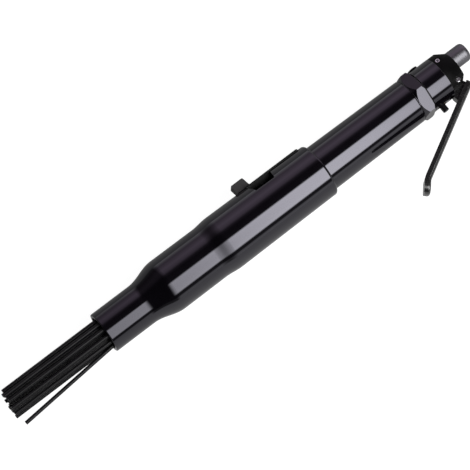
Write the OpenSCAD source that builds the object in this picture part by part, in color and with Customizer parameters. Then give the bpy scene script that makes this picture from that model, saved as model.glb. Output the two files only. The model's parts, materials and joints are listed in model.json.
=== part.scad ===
// Inline air needle scaler, lying on its side.
// The origin is the centre of the air inlet's mouth, and +X points out of it, towards the hose.
// The needles point along -X, the throttle lever opens towards -Y and +Z is up.
// A station is a distance in front of the inlet's mouth, along the tool's axis.

/* [Inlet] */
// Outside diameter of the inlet bushing
inlet_d = 15.2; // [14.4:0.1:16.6]
// Diameter of the tapped hole in the inlet bushing
inlet_bore_d = 11.4; // [10.4:0.1:11.8]
// Depth of the tapped hole
inlet_bore_len = 13; // [10:0.5:16]
// Length of the bushing that shows behind the rear head
inlet_len = 15.5; // [12:0.5:18]
// Diameter of the bushing's shank, which holds the head on the housing
inlet_shank_d = 12.6; // [12.4:0.1:13]
// Distance of the inlet's axis from the tool's axis, away from the lever
inlet_offset = 5.5; // [4.5:0.1:6]
// Depth of the rounding at the bushing's mouth
inlet_round = 1.7; // [0.6:0.1:1.8]
// Length of that rounding along the bushing
inlet_nose = 3.2; // [1:0.1:5]

/* [Rear head] */
// How much narrower than the throttle housing the rear head is
head_step = 0.2; // [-0.4:0.1:1.2]
// Length of the rear head
head_len = 14; // [13:0.5:17]
// How far the head's rear edge tapers in
head_taper = 4.3; // [3:0.1:4.5]
// Length of the head's conical rear edge
head_cone_len = 7; // [4:0.5:7]
// Diameter of the screw that locks the inlet bushing
lock_screw_d = 3.6; // [3:0.1:4]
// Lean of the lock screw away from straight up
lock_screw_lean = 15; // [5:1:20]

/* [Throttle] */
// Diameter of the throttle housing
housing_d = 35.2; // [34.8:0.1:36]
// Length of the throttle housing
housing_len = 18; // [17:0.5:22]
// Distance of the throttle valve from the housing's rear face
valve_s = 12.2; // [12:0.1:13]
// Diameter of the throttle stem
stem_d = 5; // [4.4:0.1:5.2]
// Travel of the throttle stem
stem_travel = 4; // [3:0.1:4.2]
// Diameter of the valve ball
ball_d = 6; // [5.6:0.1:6.4]
// Diameter of the valve chamber
chamber_d = 7.2; // [7:0.1:7.6]
// Diameter of the valve plug's head
plug_d = 8.4; // [8:0.1:10]

/* [Lever] */
// Distance of the lever pin in front of the head's rear face
pivot_s = 7.5; // [7:0.1:8.5]
// Distance of the lever pin inside the head's surface
pivot_inset = 6.2; // [5.5:0.1:6.5]
// Diameter of the lever pin
lever_pin_d = 4; // [3.4:0.1:4.2]
// Angle between the lever and the tool's axis, at rest
lever_angle = 28.4; // [26:0.1:32]
// Swing of the lever when it is squeezed
lever_swing = 22.5; // [20:0.5:22.5]
// Width of the lever
lever_w = 15; // [12:0.5:17]
// Thickness of the lever
lever_t = 5; // [4:0.1:5.5]
// Distance of the lever's inner face outside its pin
lever_rise = 5.9; // [5.7:0.1:6.6]
// Length of the lever's straight run in front of its pin
lever_run = 76; // [66:1:80]
// Length of the lever's bent tip
lever_tip = 9.5; // [8:0.5:16]
// Outward bend of the lever's tip
lever_bend = 20; // [10:1:28]
// Width of the lever's tongue in the head
tongue_w = 8; // [7:0.5:9]

/* [Barrel] */
// Width of the dark ring between housing and barrel
ring_w = 1.2; // [1:0.1:2]
// How much wider than the housing the hexagon is across its flats
hex_rise = 0.4; // [0:0.1:1.8]
// Length of the hexagon
hex_len = 10.3; // [9.5:0.1:14]
// Length of the turned bevel at the hexagon's front end
hex_bevel = 3.4; // [2:0.1:4.5]
// Length of the grip between the hexagon and the needle sleeve
grip_len = 86.5; // [80:0.5:100]
// How much wider than the housing the grip's rear end is
grip_step = 1.1; // [0.8:0.1:1.6]
// How much wider the grip's front end is, where the sleeve slides
grip_taper = 1.4; // [0.9:0.1:1.7]
// Depth of the step from the grip to the barrel's nose, inside the sleeve
nose_step = 2.85; // [2.65:0.05:3.1]
// Depth of the step from the housing to its threaded spigot
spigot_step = 2.6; // [2.3:0.1:2.9]
// Depth of the step from the spigot's socket to the valve and bush seats
seat_step = 1; // [0.8:0.1:1.3]
// Depth of the step from those seats to the cylinder bore
bore_step = 2; // [1.5:0.1:2.5]

/* [Striker] */
// Length of the piston
piston_len = 55; // [45:1:65]
// Wall of the anvil bush
bush_wall = 5; // [4.5:0.1:6]
// Length of the anvil's stem
anvil_len = 45; // [42:1:50]
// Thickness of the anvil's head
anvil_head = 6.4; // [5:0.2:8]
// Forward travel of the anvil
anvil_travel = 4.5; // [3:0.1:4.6]
// Length of the anvil bush
bush_len = 28; // [24:1:32]
// Travel of the distributing valve plate
plate_travel = 1.4; // [1:0.1:1.6]

/* [Needle sleeve] */
// Wall of the sleeve at its rear end
sleeve_wall = 2.75; // [2.5:0.05:3.1]
// How much wider than its rear end the sleeve's widest place is
sleeve_swell = 1.5; // [1:0.1:2.4]
// How much narrower than its rear end the sleeve is behind the shoulder
sleeve_fall = 0.5; // [0:0.1:1]
// Wall of the nozzle
nozzle_wall = 2.7; // [2.2:0.1:3.3]
// Room round the needles in the nozzle
nozzle_room = 1.6; // [1.5:0.1:2]
// Length from the sleeve's rear end to its widest place
taper_len = 91.5; // [88:0.5:100]
// Length of the gentle step in front of the widest place
step_len = 14.2; // [10:0.2:18]
// Length of the front section
front_len = 38.5; // [36:0.5:46]
// Length of the curved shoulder
shoulder_len = 24.5; // [20:0.5:30]
// Length of the nozzle
nozzle_len = 34.8; // [30:0.1:40]
// Travel of the sleeve against its spring
sleeve_travel = 5; // [2:0.5:5]

/* [Catch] */
// Length of the slot in the sleeve
slot_len = 50; // [47:0.5:54]
// Width of the slot round the catch
slot_w = 20; // [18:0.2:21]
// Length of the finger pocket at the slot's front end
pocket_len = 22.5; // [18:0.5:26]
// Width of the finger pocket
pocket_w = 36.5; // [28:0.5:37]
// Height of the catch's arm above the sleeve's rear end
arm_rise = 1.3; // [0:0.1:2]
// Length of the catch's thumb tab
tab_len = 11; // [9:0.1:14]
// Width of the catch's thumb tab
tab_w = 10; // [7:0.5:12]
// Height of the thumb tab above the sleeve's widest place
tab_height = 7.15; // [5.5:0.05:9.5]
// Diameter of the catch pin
catch_pin_d = 2; // [1.6:0.1:2.2]
// Lift of the catch
catch_lift = 5; // [4:0.5:6]

/* [Needles] */
// Diameter of a needle
needle_d = 3; // [2.8:0.1:3]
// Length of a needle
needle_len = 180; // [176:1:184]
// Length of the needles in front of the nozzle
needle_out = 87.5; // [84:0.5:92]
// Most wear of a needle's tip
needle_wear = 3; // [0:0.5:4]
// Diameter of a needle's head
needle_head_d = 4.2; // [3.8:0.1:4.3]
// Thickness of a needle's head
needle_head = 3.5; // [3:0.1:4]
// Slide of a needle in its holder
needle_travel = 4; // [2:0.1:4]
// Radius of the inner ring of needles
inner_ring_r = 5.3; // [5.2:0.05:5.4]
// Radius of the outer ring of needles
outer_ring_r = 10.7; // [10.5:0.05:10.8]
// How far the bent needle's tip leaves its row
bent_spread = 7.7; // [3.5:0.1:9]
// Distance of the needle's bend inside the nozzle's mouth
bend_inset = 11.5; // [8:0.5:16]
// Thickness of the needle holder
holder_len = 11; // [9:0.5:12]
// Forward travel of the needle holder
holder_travel = 6; // [4:0.5:6]
// Wire diameter of the needle spring
spring_wire = 2.2; // [1.6:0.1:2.4]
// Turns of the needle spring
spring_turns = 6; // [4:0.5:6]

/* [Hidden] */
$fn = 64;
eps = 0.01;
// Radial clearances of fixed, turning and sliding fits
fixed_gap = 0.02;
turn_gap = 0.05;
slide_gap = 0.2;
// Gap between flat faces that meet at a stop
stop_gap = 0.3;
// Gap beside the lever's tongue
side_gap = 0.4;
needle_rings = [1, 6, 12];
ring_radii = [0, inner_ring_r, outer_ring_r];
needle_count = needle_rings[0] + needle_rings[1] + needle_rings[2];
// The outer ring's needle that lies nearest to the lever is bent
bent_needle = 17;

// Diameters, each from the one that it fits or steps from
head_d = housing_d - head_step;
head_face_d = head_d - 2 * head_taper;
pivot_d = head_d / 2 - pivot_inset;
hex_af = housing_d + hex_rise;
grip_d = housing_d + grip_step;
land_d = grip_d + grip_taper;
nose_d = land_d - 2 * nose_step;
socket_d = housing_d - 2 * spigot_step;
seat_d = socket_d - 2 * seat_step;
bore_d = seat_d - 2 * bore_step;
anvil_d = seat_d - 2 * bush_wall;
sleeve_rear_d = land_d + 2 * (slide_gap + sleeve_wall);
sleeve_mid_d = sleeve_rear_d + sleeve_swell;
sleeve_front_d = sleeve_rear_d - sleeve_fall;
nozzle_bore_d = 2 * (outer_ring_r + nozzle_room) + needle_d;
nozzle_d = nozzle_bore_d + 2 * nozzle_wall;
tab_reach = sleeve_mid_d / 2 + tab_height;
bent_reach = outer_ring_r + bent_spread;

// Stations along the tool
head_s = inlet_len;
housing_s = head_s + head_len;
ring_s = housing_s + housing_len;
barrel_s = ring_s + ring_w;
hex_end_s = barrel_s + hex_len;
sleeve_s = hex_end_s + grip_len;
step_s = sleeve_s + taper_len;
front_s = step_s + step_len;
shoulder_s = front_s + front_len;
nozzle_s = shoulder_s + shoulder_len;
mouth_s = nozzle_s + nozzle_len;

// Needles and what strikes them, from the needle heads backwards
heads_s = mouth_s + needle_out - needle_len;
holder_s = heads_s - stop_gap;
holder_end_s = holder_s + holder_len;
anvil_face_s = heads_s - anvil_travel - needle_travel - 0.5;
anvil_head_s = anvil_face_s - anvil_head;
anvil_tail_s = anvil_head_s - anvil_len;
nose_s = anvil_head_s - stop_gap;
buffer_len = 3;
clip_len = 1.5;
clip_s = nose_s - buffer_len - clip_len - 0.1;
bush_s = clip_s - bush_len;
counterbore_len = stop_gap + needle_head + fixed_gap * 10;
holder_d = land_d;
// Snap ring in the sleeve, behind the needle holder
keeper_t = 1.2;
keeper_s = holder_s - stop_gap - keeper_t;
keeper_depth = 0.7;
keeper_bore_d = land_d - 2 * keeper_t;
keeper_opening = 6;

// Distributing valve behind the cylinder bore
socket_len = 10.8;
valve_box_s = barrel_s + socket_len;
valve_box_len = 11.5;
valve_cap_s = valve_box_s + valve_box_len;
valve_cap_len = 10;
cavity_len = 6;
plate_t = 2;
plate_s = valve_cap_s - cavity_len + stop_gap;
cap_spigot = cavity_len - 2 * stop_gap - plate_t - plate_travel;
bore_s = valve_cap_s + valve_cap_len;
dowel_d = 3;
dowel_r = seat_d / 2 - dowel_d;
plate_rim = 0.4;
plate_d = 2 * (dowel_r - dowel_d - plate_rim);
piston_s = bore_s + 2;

// Throttle valve, whose axis crosses the tool's axis
throttle_s = housing_s + valve_s;
seat_y = -1;
seat_t = 1.6;
seat_bore_r = ball_d * 0.36;
ball_y = seat_y + seat_t + sqrt(pow(ball_d / 2, 2) - pow(seat_bore_r, 2)) + turn_gap;
bush_y = -8.6;
bush_r = stem_d / 2 + 1.5;
collar_r = stem_d / 2 + 0.3;
outlet_r = collar_r + 0.3;
plug_y = housing_d / 2 - 0.6;
plug_len = 3.6;
plug_proud = 1;
spring_y = ball_y + ball_d / 2 + turn_gap;
valve_spring_len = plug_y - plug_len - spring_y - turn_gap;
shank_grip = 6;
shank_end_s = housing_s + shank_grip;
screen_d = inlet_shank_d - 2.6;
screen_t = 1.2;
lock_screw_s = housing_s - 3.5;
stem_seal_wire = 0.9;
stem_seal_d = stem_d + 2 * fixed_gap;
stem_seal_y = bush_y - 4;
plug_seal_wire = 1;
valve_wire = 0.7;
valve_turns = 4;
valve_coil_r = ball_d / 2 - 0.9;
spigot_seal_wire = 1.8;
spigot_seal_s = barrel_s + socket_len - 4;

// Lever
lever_pin_s = head_s + pivot_s;
lever_heel = 4.6;
boss_r = lever_pin_d / 2 + 2.2;
block_front = [10.7, 2];
block_reach = norm(block_front);
pressed_angle = lever_angle - lever_swing;
press_gap = 0.4;
stem_reach = pivot_d + (throttle_s - lever_pin_s) * tan(pressed_angle) + lever_rise / cos(pressed_angle)
    + stem_travel - press_gap;
head_flat = pivot_d + lever_rise * cos(lever_angle) - lever_heel * sin(lever_angle) - stop_gap;
slot_floor = pivot_d - boss_r - stop_gap;

// Sleeve and catch
sleeve_bore_r = land_d / 2 + slide_gap;
spring_bore_r = nozzle_bore_d / 2 + spring_wire + 0.6;
spring_seat_s = shoulder_s + shoulder_len * 0.58;
spring_step_s = holder_end_s + holder_travel + sleeve_travel + 2;
slot_s = sleeve_s + 5;
slot_end_s = slot_s + slot_len;
catch_pin_s = slot_s + 5.5;
catch_pin_y = nose_d / 2 + catch_pin_d / 2 + 1;
catch_r = sleeve_rear_d / 2 + arm_rise;
catch_inner_r = nose_d / 2 + 2.4;
catch_w = slot_w - 2 * side_gap;
knuckle_r = catch_pin_d / 2 + 0.6;
tooth_len = 5;
tooth_w = 8;
tooth_inset = 12;
tooth_s = slot_end_s - tooth_inset;
tooth_r = nose_d / 2 - 0.9;
groove_r = sqrt(pow(tooth_r, 2) - pow(tooth_w / 2, 2)) - stop_gap;
tab_s = slot_end_s - 5;
catch_tail_s = slot_s + 2 * side_gap;
catch_edge_y = sqrt(pow(catch_inner_r, 2) - pow(catch_w / 2, 2));
catch_wire = 0.5;
catch_turns = 4;
catch_coil_len = 4.4;
catch_coil_r = catch_pin_d / 2 + catch_wire / 2 + 0.1;
needle_coil_r = nozzle_bore_d / 2 + spring_wire / 2 + 0.3;
needle_spring_len = spring_seat_s - holder_end_s - 2 * fixed_gap;

function needle_name(i) = str("needle_", i < 10 ? "0" : "", i);

// Points of an arc, from angle a0 to angle a1
function arc(centre, r, a0, a1, n) =
    [for (i = [0:n]) centre + r * [cos(a0 + (a1 - a0) * i / n), sin(a0 + (a1 - a0) * i / n)]];

// Points [radius, station] of a smooth change of radius
function blend(r0, r1, s0, s1, n) =
    [for (i = [0:n]) [r0 + (r1 - r0) * (1 - cos(180 * i / n)) / 2, s0 + (s1 - s0) * i / n]];

// Places a drawing whose Z is the station, whose X is up and whose Y leads away from the lever
module tool_frame() {
    translate([0, -inlet_offset, 0]) rotate([0, -90, 0]) children();
}

// Solid between two stations
module rod(d, s0, s1) {
    translate([0, 0, s0]) cylinder(d = d, h = s1 - s0);
}

// Tube between two stations
module tube(d, bore, s0, s1) {
    difference() {
        rod(d, s0, s1);
        rod(bore, s0 - 1, s1 + 1);
    }
}

// Round ring of a seal
module seal(mean_d, section_d, s) {
    rotate_extrude() translate([mean_d / 2, s]) circle(d = section_d, $fn = 24);
}

// Extrudes across the tool: 2-D X is the station and 2-D Y is the distance towards the lever
module lever_extrude(width) {
    rotate([0, -90, 180]) linear_extrude(width, center = true) children();
}

// Extrudes across the tool: 2-D X is the station and 2-D Y is the distance away from the lever
module tab_extrude(width) {
    mirror([0, 1, 0]) lever_extrude(width) children();
}

// Turns a drawing along Z to the throttle valve's axis, away from the lever
module throttle_axis() {
    translate([0, 0, throttle_s]) rotate([-90, 0, 0]) children();
}

// Places a drawing in the lever's own axes: X along it, Y outwards and Z across
module lever_axes() {
    rotate([0, -90, 180]) translate([lever_pin_s, pivot_d, 0]) rotate([0, 0, lever_angle]) children();
}

// Turns a drawing along Z to a cross pin's axis
module cross_axis(s, y) {
    translate([0, y, s]) rotate([0, 90, 0]) children();
}

// Centre of the wire of a coil, with the coil's axis on Z
function coil_point(mean_r, turns, z0, z1, t) =
    [mean_r * cos(360 * turns * t), mean_r * sin(360 * turns * t), z0 + (z1 - z0) * t];

// Least gap between neighbouring turns of a coil
function coil_gap(mean_r, wire_d, turns, length) =
    let (points = [for (i = [0:turns * 8])
        coil_point(mean_r, turns, wire_d / 2, length - wire_d / 2, i / (turns * 8))])
    min([for (i = [0:turns * 8 - 7]) for (k = [6:1:min(10, turns * 8 - i)])
        norm(points[i + k] - points[i])]) - wire_d;

echo(str("Valve spring, least gap between turns: ",
    coil_gap(valve_coil_r, valve_wire, valve_turns, valve_spring_len), " mm"));
echo(str("Catch spring, least gap between turns: ",
    coil_gap(catch_coil_r, catch_wire, catch_turns, catch_coil_len), " mm"));
echo(str("Needle spring, least gap between turns: ",
    coil_gap(needle_coil_r, spring_wire, spring_turns, needle_spring_len), " mm"));

// Coil spring of one unbroken wire, with 8 rings a turn and 6 sides
module coil(mean_r, wire_d, turns, length) {
    rings = turns * 8;
    sides = 6;
    z0 = wire_d / 2;
    z1 = length - wire_d / 2;
    pitch = atan((z1 - z0) / (2 * PI * mean_r * turns));
    points = [for (i = [0:rings]) for (j = [0:sides - 1])
        let (a = 360 * turns * i / rings, b = 360 * j / sides)
        coil_point(mean_r, turns, z0, z1, i / rings)
            + wire_d / 2 * cos(b) * [cos(a), sin(a), 0]
            + wire_d / 2 * sin(b) * [sin(a) * sin(pitch), -cos(a) * sin(pitch), cos(pitch)]];
    faces = concat(
        [for (i = [0:rings - 1]) for (j = [0:sides - 1])
            let (k = (j + 1) % sides)
            [i * sides + j, (i + 1) * sides + j, i * sides + k]],
        [for (i = [0:rings - 1]) for (j = [0:sides - 1])
            let (k = (j + 1) % sides)
            [i * sides + k, (i + 1) * sides + j, (i + 1) * sides + k]],
        [for (j = [1:sides - 2]) [0, j, j + 1]],
        [for (j = [1:sides - 2]) [rings * sides, rings * sides + j + 1, rings * sides + j]]
    );
    polyhedron(points, faces);
}

module inlet_bushing() {
    color("dimgray") tool_frame() translate([0, inlet_offset, 0]) {
        passage_d = inlet_bore_d - 3.4;
        difference() {
            rotate_extrude() polygon(concat(
                [[0, 0]],
                [for (p = arc([0, 1], 1, -90, 0, 8))
                    [inlet_d / 2 - inlet_round * (1 - p[0]), inlet_nose * p[1]]],
                [[inlet_d / 2, head_s], [inlet_shank_d / 2, head_s]],
                [[inlet_shank_d / 2, shank_end_s], [0, shank_end_s]]
            ));
            rod(inlet_bore_d, -1, inlet_bore_len);
            rod(passage_d, inlet_bore_len - 1, shank_end_s + 1);
            rod(screen_d + 2 * fixed_gap, shank_end_s - screen_t, shank_end_s + 1);
        }
    }
}

module inlet_screen() {
    color("gainsboro") tool_frame() translate([0, inlet_offset, 0]) {
        holes = 6;
        difference() {
            rod(screen_d, shank_end_s - screen_t, shank_end_s);
            rod(1.6, shank_end_s - 3, shank_end_s + 1);
            for (i = [0:holes - 1])
                rotate(360 * i / holes)
                    translate([2.6, 0, 0]) rod(1.6, shank_end_s - 3, shank_end_s + 1);
        }
    }
}

// The lock screw's axis, leaning from straight up away from the lever
module lock_screw_direction() {
    translate([0, inlet_offset, lock_screw_s]) rotate([0, 0, lock_screw_lean]) rotate([0, 90, 0]) children();
}

module inlet_lock_screw() {
    color("silver") tool_frame() {
        socket_depth = 2;
        lean_y = inlet_offset * sin(lock_screw_lean);
        reach = sqrt(pow(head_d / 2, 2) - pow(inlet_offset, 2) + pow(lean_y, 2)) - lean_y - 0.4;
        lock_screw_direction() difference() {
            rod(lock_screw_d, inlet_shank_d / 2 + fixed_gap, reach);
            translate([0, 0, reach - socket_depth])
                cylinder(d = lock_screw_d / 2, h = socket_depth + 1, $fn = 6);
        }
    }
}

module rear_head() {
    color("#17171a") tool_frame() difference() {
        rotate_extrude() polygon([
            [0, head_s],
            [head_face_d / 2, head_s],
            [head_d / 2, head_s + head_cone_len],
            [head_d / 2, housing_s],
            [0, housing_s]
        ]);
        translate([0, inlet_offset, 0]) rod(inlet_shank_d + 2 * fixed_gap, 0, housing_s + 1);
        lock_screw_direction() rod(lock_screw_d + 2 * fixed_gap, 0, head_d);
        lever_extrude(tongue_w + 2 * side_gap)
            translate([0, slot_floor]) square([housing_s + 1, head_d]);
        lever_extrude(head_d + 2) polygon([
            [head_s - 1, head_flat - 5],
            [head_s + 4, head_flat],
            [housing_s + 1, head_flat],
            [housing_s + 1, head_d],
            [head_s - 1, head_d]
        ]);
        cross_axis(lever_pin_s, -pivot_d)
            cylinder(d = lever_pin_d + 2 * fixed_gap, h = head_d, center = true);
    }
}

module lever_pin() {
    color("silver") tool_frame() {
        pin_len = 2 * sqrt(pow(head_d / 2, 2) - pow(pivot_d, 2)) - 0.8;
        cross_axis(lever_pin_s, -pivot_d) cylinder(d = lever_pin_d, h = pin_len, center = true);
    }
}

module lever() {
    color("#3b3b40") tool_frame() {
        bend_r = 10;
        bend_centre = [lever_run, lever_rise + lever_t + bend_r];
        tip_axis = [cos(lever_bend), sin(lever_bend)];
        tip_centre = bend_centre + (bend_r + lever_t / 2) * [sin(lever_bend), -cos(lever_bend)]
            + (lever_tip - lever_t / 2) * tip_axis;
        tip_x = tip_centre[0] + lever_t / 2;
        corner_r = lever_w * 0.4;
        heel_r = lever_t * 0.6;
        flange_t = 2;
        web_t = 2;
        channel_s = 30;
        difference() {
            union() {
                intersection() {
                    lever_axes() linear_extrude(lever_w, center = true) polygon(concat(
                        [[-lever_heel, lever_rise]],
                        arc(bend_centre, bend_r + lever_t, -90, -90 + lever_bend, 4),
                        arc(tip_centre, lever_t / 2, -90 + lever_bend, 90 + lever_bend, 6),
                        arc(bend_centre, bend_r, -90 + lever_bend, -90, 4),
                        arc([heel_r - lever_heel, lever_rise + lever_t - heel_r], heel_r, 90, 180, 4)
                    ));
                    lever_axes() rotate([-90, 0, 0]) linear_extrude(lever_rise + lever_t + lever_tip)
                        polygon(concat(
                            [[-lever_heel, -lever_w / 2]],
                            arc([tip_x - corner_r, -lever_w / 2 + corner_r], corner_r, -90, 0, 6),
                            arc([tip_x - corner_r, lever_w / 2 - corner_r], corner_r, 0, 90, 6),
                            [[-lever_heel, lever_w / 2]]
                        ));
                }
                lever_axes() linear_extrude(tongue_w, center = true) polygon(concat(
                    arc([0, 0], boss_r, 180, 300, 8),
                    [block_front, [block_front[0] + 1.4, lever_rise + eps]],
                    [[-lever_heel, lever_rise + eps]]
                ));
            }
            lever_axes() cylinder(d = lever_pin_d + 2 * turn_gap, h = lever_w, center = true);
            lever_axes() translate([channel_s, 0, -lever_w / 2 + flange_t])
                cube([lever_run - channel_s, lever_rise + lever_t - web_t, lever_w - 2 * flange_t]);
        }
    }
}

module throttle_housing() {
    color("#232028") tool_frame() {
        edge = 0.5;
        spigot_d = socket_d - 2 * turn_gap;
        spigot_end_s = valve_box_s - stop_gap;
        difference() {
            union() {
                rotate_extrude() polygon([
                    [0, housing_s],
                    [housing_d / 2 - edge, housing_s],
                    [housing_d / 2, housing_s + edge],
                    [housing_d / 2, ring_s - edge],
                    [housing_d / 2 - edge, ring_s],
                    [0, ring_s]
                ]);
                rod(spigot_d, ring_s - 1, spigot_end_s);
            }
            translate([0, inlet_offset, 0]) rod(inlet_shank_d + 2 * fixed_gap, housing_s - 1, shank_end_s);
            translate([0, inlet_offset, 0]) rod(chamber_d - 1, shank_end_s - 1, throttle_s);
            throttle_axis() rod(chamber_d, seat_y, housing_d);
            throttle_axis() rod(plug_d + 0.6, plug_y, housing_d);
            throttle_axis() rod(2 * outlet_r, bush_y, seat_y + 1);
            throttle_axis() rod(2 * bush_r + 2 * fixed_gap, -housing_d, bush_y);
            translate([0, (seat_y + bush_y) / 2, 0]) rod(2 * outlet_r, throttle_s, spigot_end_s + 1);
            lever_extrude(tongue_w + 2 * side_gap)
                translate([housing_s - 1, pivot_d - 1])
                    square([lever_pin_s + block_reach + 0.5 - housing_s + 1, housing_d]);
            spigot_groove();
        }
    }
}

module spigot_groove() {
    half_w = spigot_seal_wire * 0.6;
    floor_d = socket_d - 2 * spigot_seal_wire - 4 * fixed_gap;
    tube(socket_d + 2, floor_d, spigot_seal_s - half_w, spigot_seal_s + half_w);
}

module spigot_seal() {
    color("black") tool_frame()
        seal(socket_d - spigot_seal_wire - 2 * fixed_gap, spigot_seal_wire, spigot_seal_s);
}

module valve_bush() {
    color("darkgoldenrod") tool_frame() throttle_axis() difference() {
        rod(2 * bush_r, -housing_d / 2 + 0.8, bush_y);
        rod(stem_d + 2 * turn_gap, -housing_d, 0);
        rod(stem_seal_d + stem_seal_wire * 2 + 2 * fixed_gap, stem_seal_y - 0.6, stem_seal_y + 0.6);
    }
}

module stem_seal() {
    color("black") tool_frame() throttle_axis()
        seal(stem_seal_d + stem_seal_wire, stem_seal_wire, stem_seal_y);
}

module valve_stem() {
    color("silver") tool_frame() throttle_axis() {
        push_d = 2 * seat_bore_r - 1.2;
        edge = 0.6;
        collar_t = 0.8;
        ball_bottom = ball_y - ball_d / 2 - fixed_gap;
        rotate_extrude() polygon([
            [0, -stem_reach],
            [stem_d / 2 - edge, -stem_reach],
            [stem_d / 2, -stem_reach + edge],
            [stem_d / 2, bush_y + 0.1],
            [collar_r, bush_y + 0.1],
            [collar_r, bush_y + 0.1 + collar_t],
            [push_d / 2, bush_y + 0.1 + collar_t],
            [push_d / 2, ball_bottom],
            [0, ball_bottom]
        ]);
    }
}

module valve_ball() {
    color("silver") tool_frame() throttle_axis() translate([0, 0, ball_y]) sphere(d = ball_d);
}

module valve_seat() {
    color("ivory") tool_frame() throttle_axis()
        tube(chamber_d - 2 * fixed_gap, 2 * seat_bore_r, seat_y, seat_y + seat_t);
}

module valve_spring() {
    color("silver") tool_frame() throttle_axis() translate([0, 0, spring_y])
        coil(valve_coil_r, valve_wire, valve_turns, valve_spring_len);
}

module valve_plug() {
    color("#2b2b2f") tool_frame() throttle_axis() difference() {
        union() {
            rod(chamber_d - 2 * fixed_gap, plug_y - plug_len, plug_y + eps);
            rod(plug_d, plug_y, housing_d / 2 + plug_proud);
        }
        translate([0, 0, housing_d / 2 + plug_proud - 1.2]) cylinder(d = plug_d * 0.5, h = 2, $fn = 6);
        tube(chamber_d + 1, chamber_d - 2 * plug_seal_wire - 4 * fixed_gap, plug_y - 2.2, plug_y - 1);
    }
}

module plug_seal() {
    color("black") tool_frame() throttle_axis()
        seal(chamber_d - plug_seal_wire - 2 * fixed_gap, plug_seal_wire, plug_y - 1.6);
}

module gap_ring() {
    color("black") tool_frame() tube(housing_d - 2, socket_d, ring_s, barrel_s);
}

module barrel() {
    color("#232028") tool_frame() {
        hex_r = hex_af / 2 / cos(30);
        rear_bevel = 1.4;
        neck_w = 1;
        neck_depth = 0.75;
        neck_s = hex_end_s - neck_w;
        land_end_s = slot_s + 2;
        front_land = 12;
        difference() {
            union() {
                intersection() {
                    translate([0, 0, barrel_s]) cylinder(r = hex_r, h = hex_len, $fn = 6);
                    rotate_extrude() polygon([
                        [0, barrel_s],
                        [hex_r - rear_bevel, barrel_s],
                        [hex_r, barrel_s + rear_bevel],
                        [hex_r, neck_s - hex_bevel],
                        [hex_af / 2 - 0.15, neck_s],
                        [0, neck_s]
                    ]);
                }
                rotate_extrude() polygon([
                    [0, neck_s - hex_bevel],
                    [grip_d / 2 - neck_depth, neck_s - hex_bevel],
                    [grip_d / 2 - neck_depth, hex_end_s - neck_depth],
                    [grip_d / 2, hex_end_s],
                    [land_d / 2, sleeve_s],
                    [land_d / 2, land_end_s],
                    [nose_d / 2, land_end_s + 0.6],
                    [nose_d / 2, nose_s - front_land],
                    [land_d / 2, nose_s - front_land + 2],
                    [land_d / 2, nose_s],
                    [0, nose_s]
                ]);
            }
            rod(socket_d, barrel_s - 1, valve_box_s);
            rod(seat_d, valve_box_s - 1, bore_s);
            rod(bore_d, bore_s - 1, bush_s + 1);
            rod(seat_d, bush_s, nose_s + 1);
            rod(seat_d + 2.4, clip_s, clip_s + clip_len);
            exhaust_ports();
            key_groove();
            catch_flat();
        }
    }
}

// Exhaust ports, from the middle of the cylinder bore to the space inside the sleeve
module exhaust_ports() {
    port_d = 4;
    for (a = [0, 180])
        translate([0, 0, slot_s + 8]) rotate([0, 90, a]) cylinder(d = port_d, h = land_d);
}

// Groove that the catch's tooth slides in
module key_groove() {
    tab_extrude(tooth_w + 2 * side_gap) polygon([
        [tooth_s - sleeve_travel - stop_gap, groove_r],
        [tooth_s + tooth_len + stop_gap, groove_r],
        [tooth_s + tooth_len + stop_gap, land_d / 2],
        [tooth_s - sleeve_travel - stop_gap, land_d / 2]
    ]);
}

// Flat under the catch's tail, as long as the sleeve's travel needs
module catch_flat() {
    flat_s = catch_tail_s - sleeve_travel - side_gap;
    drop = (catch_pin_s - catch_tail_s) * sin(catch_lift);
    tab_extrude(catch_w + 2 * side_gap) translate([flat_s, catch_edge_y - drop - stop_gap])
        square([catch_pin_s - flat_s, land_d]);
}

module valve_box() {
    color("silver") tool_frame() difference() {
        rod(seat_d - 2 * fixed_gap, valve_box_s, valve_cap_s);
        rod(plate_d + 0.8, valve_cap_s - cavity_len, valve_cap_s + 1);
        rod(5, valve_box_s - 1, valve_cap_s);
        translate([0, dowel_r, 0]) rod(dowel_d + 2 * fixed_gap, valve_cap_s - 6, valve_cap_s + 1);
    }
}

module valve_plate() {
    color("silver") tool_frame() tube(plate_d, 3, plate_s, plate_s + plate_t);
}

module valve_cap() {
    color("silver") tool_frame() difference() {
        union() {
            rod(seat_d - 2 * fixed_gap, valve_cap_s, bore_s);
            rod(plate_d + 0.8 - 4 * fixed_gap, valve_cap_s - cap_spigot, valve_cap_s + 1);
        }
        rod(6, valve_cap_s - cap_spigot - 1, bore_s + 1);
        translate([0, dowel_r, 0]) rod(dowel_d + 2 * fixed_gap, valve_cap_s - 1, valve_cap_s + 6);
    }
}

module valve_dowel() {
    color("silver") tool_frame() translate([0, dowel_r, 0])
        rod(dowel_d, valve_cap_s - 5.8, valve_cap_s + 5.8);
}

module piston() {
    color("silver") tool_frame() {
        piston_d = bore_d - 2 * turn_gap;
        edge = 1;
        rotate_extrude() polygon([
            [0, piston_s],
            [piston_d / 2 - edge, piston_s],
            [piston_d / 2, piston_s + edge],
            [piston_d / 2, piston_s + piston_len - edge],
            [piston_d / 2 - edge, piston_s + piston_len],
            [0, piston_s + piston_len]
        ]);
    }
}

module anvil_bush() {
    color("darkgoldenrod") tool_frame() tube(seat_d - 2 * fixed_gap, anvil_d + 2 * turn_gap, bush_s, clip_s);
}

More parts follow.
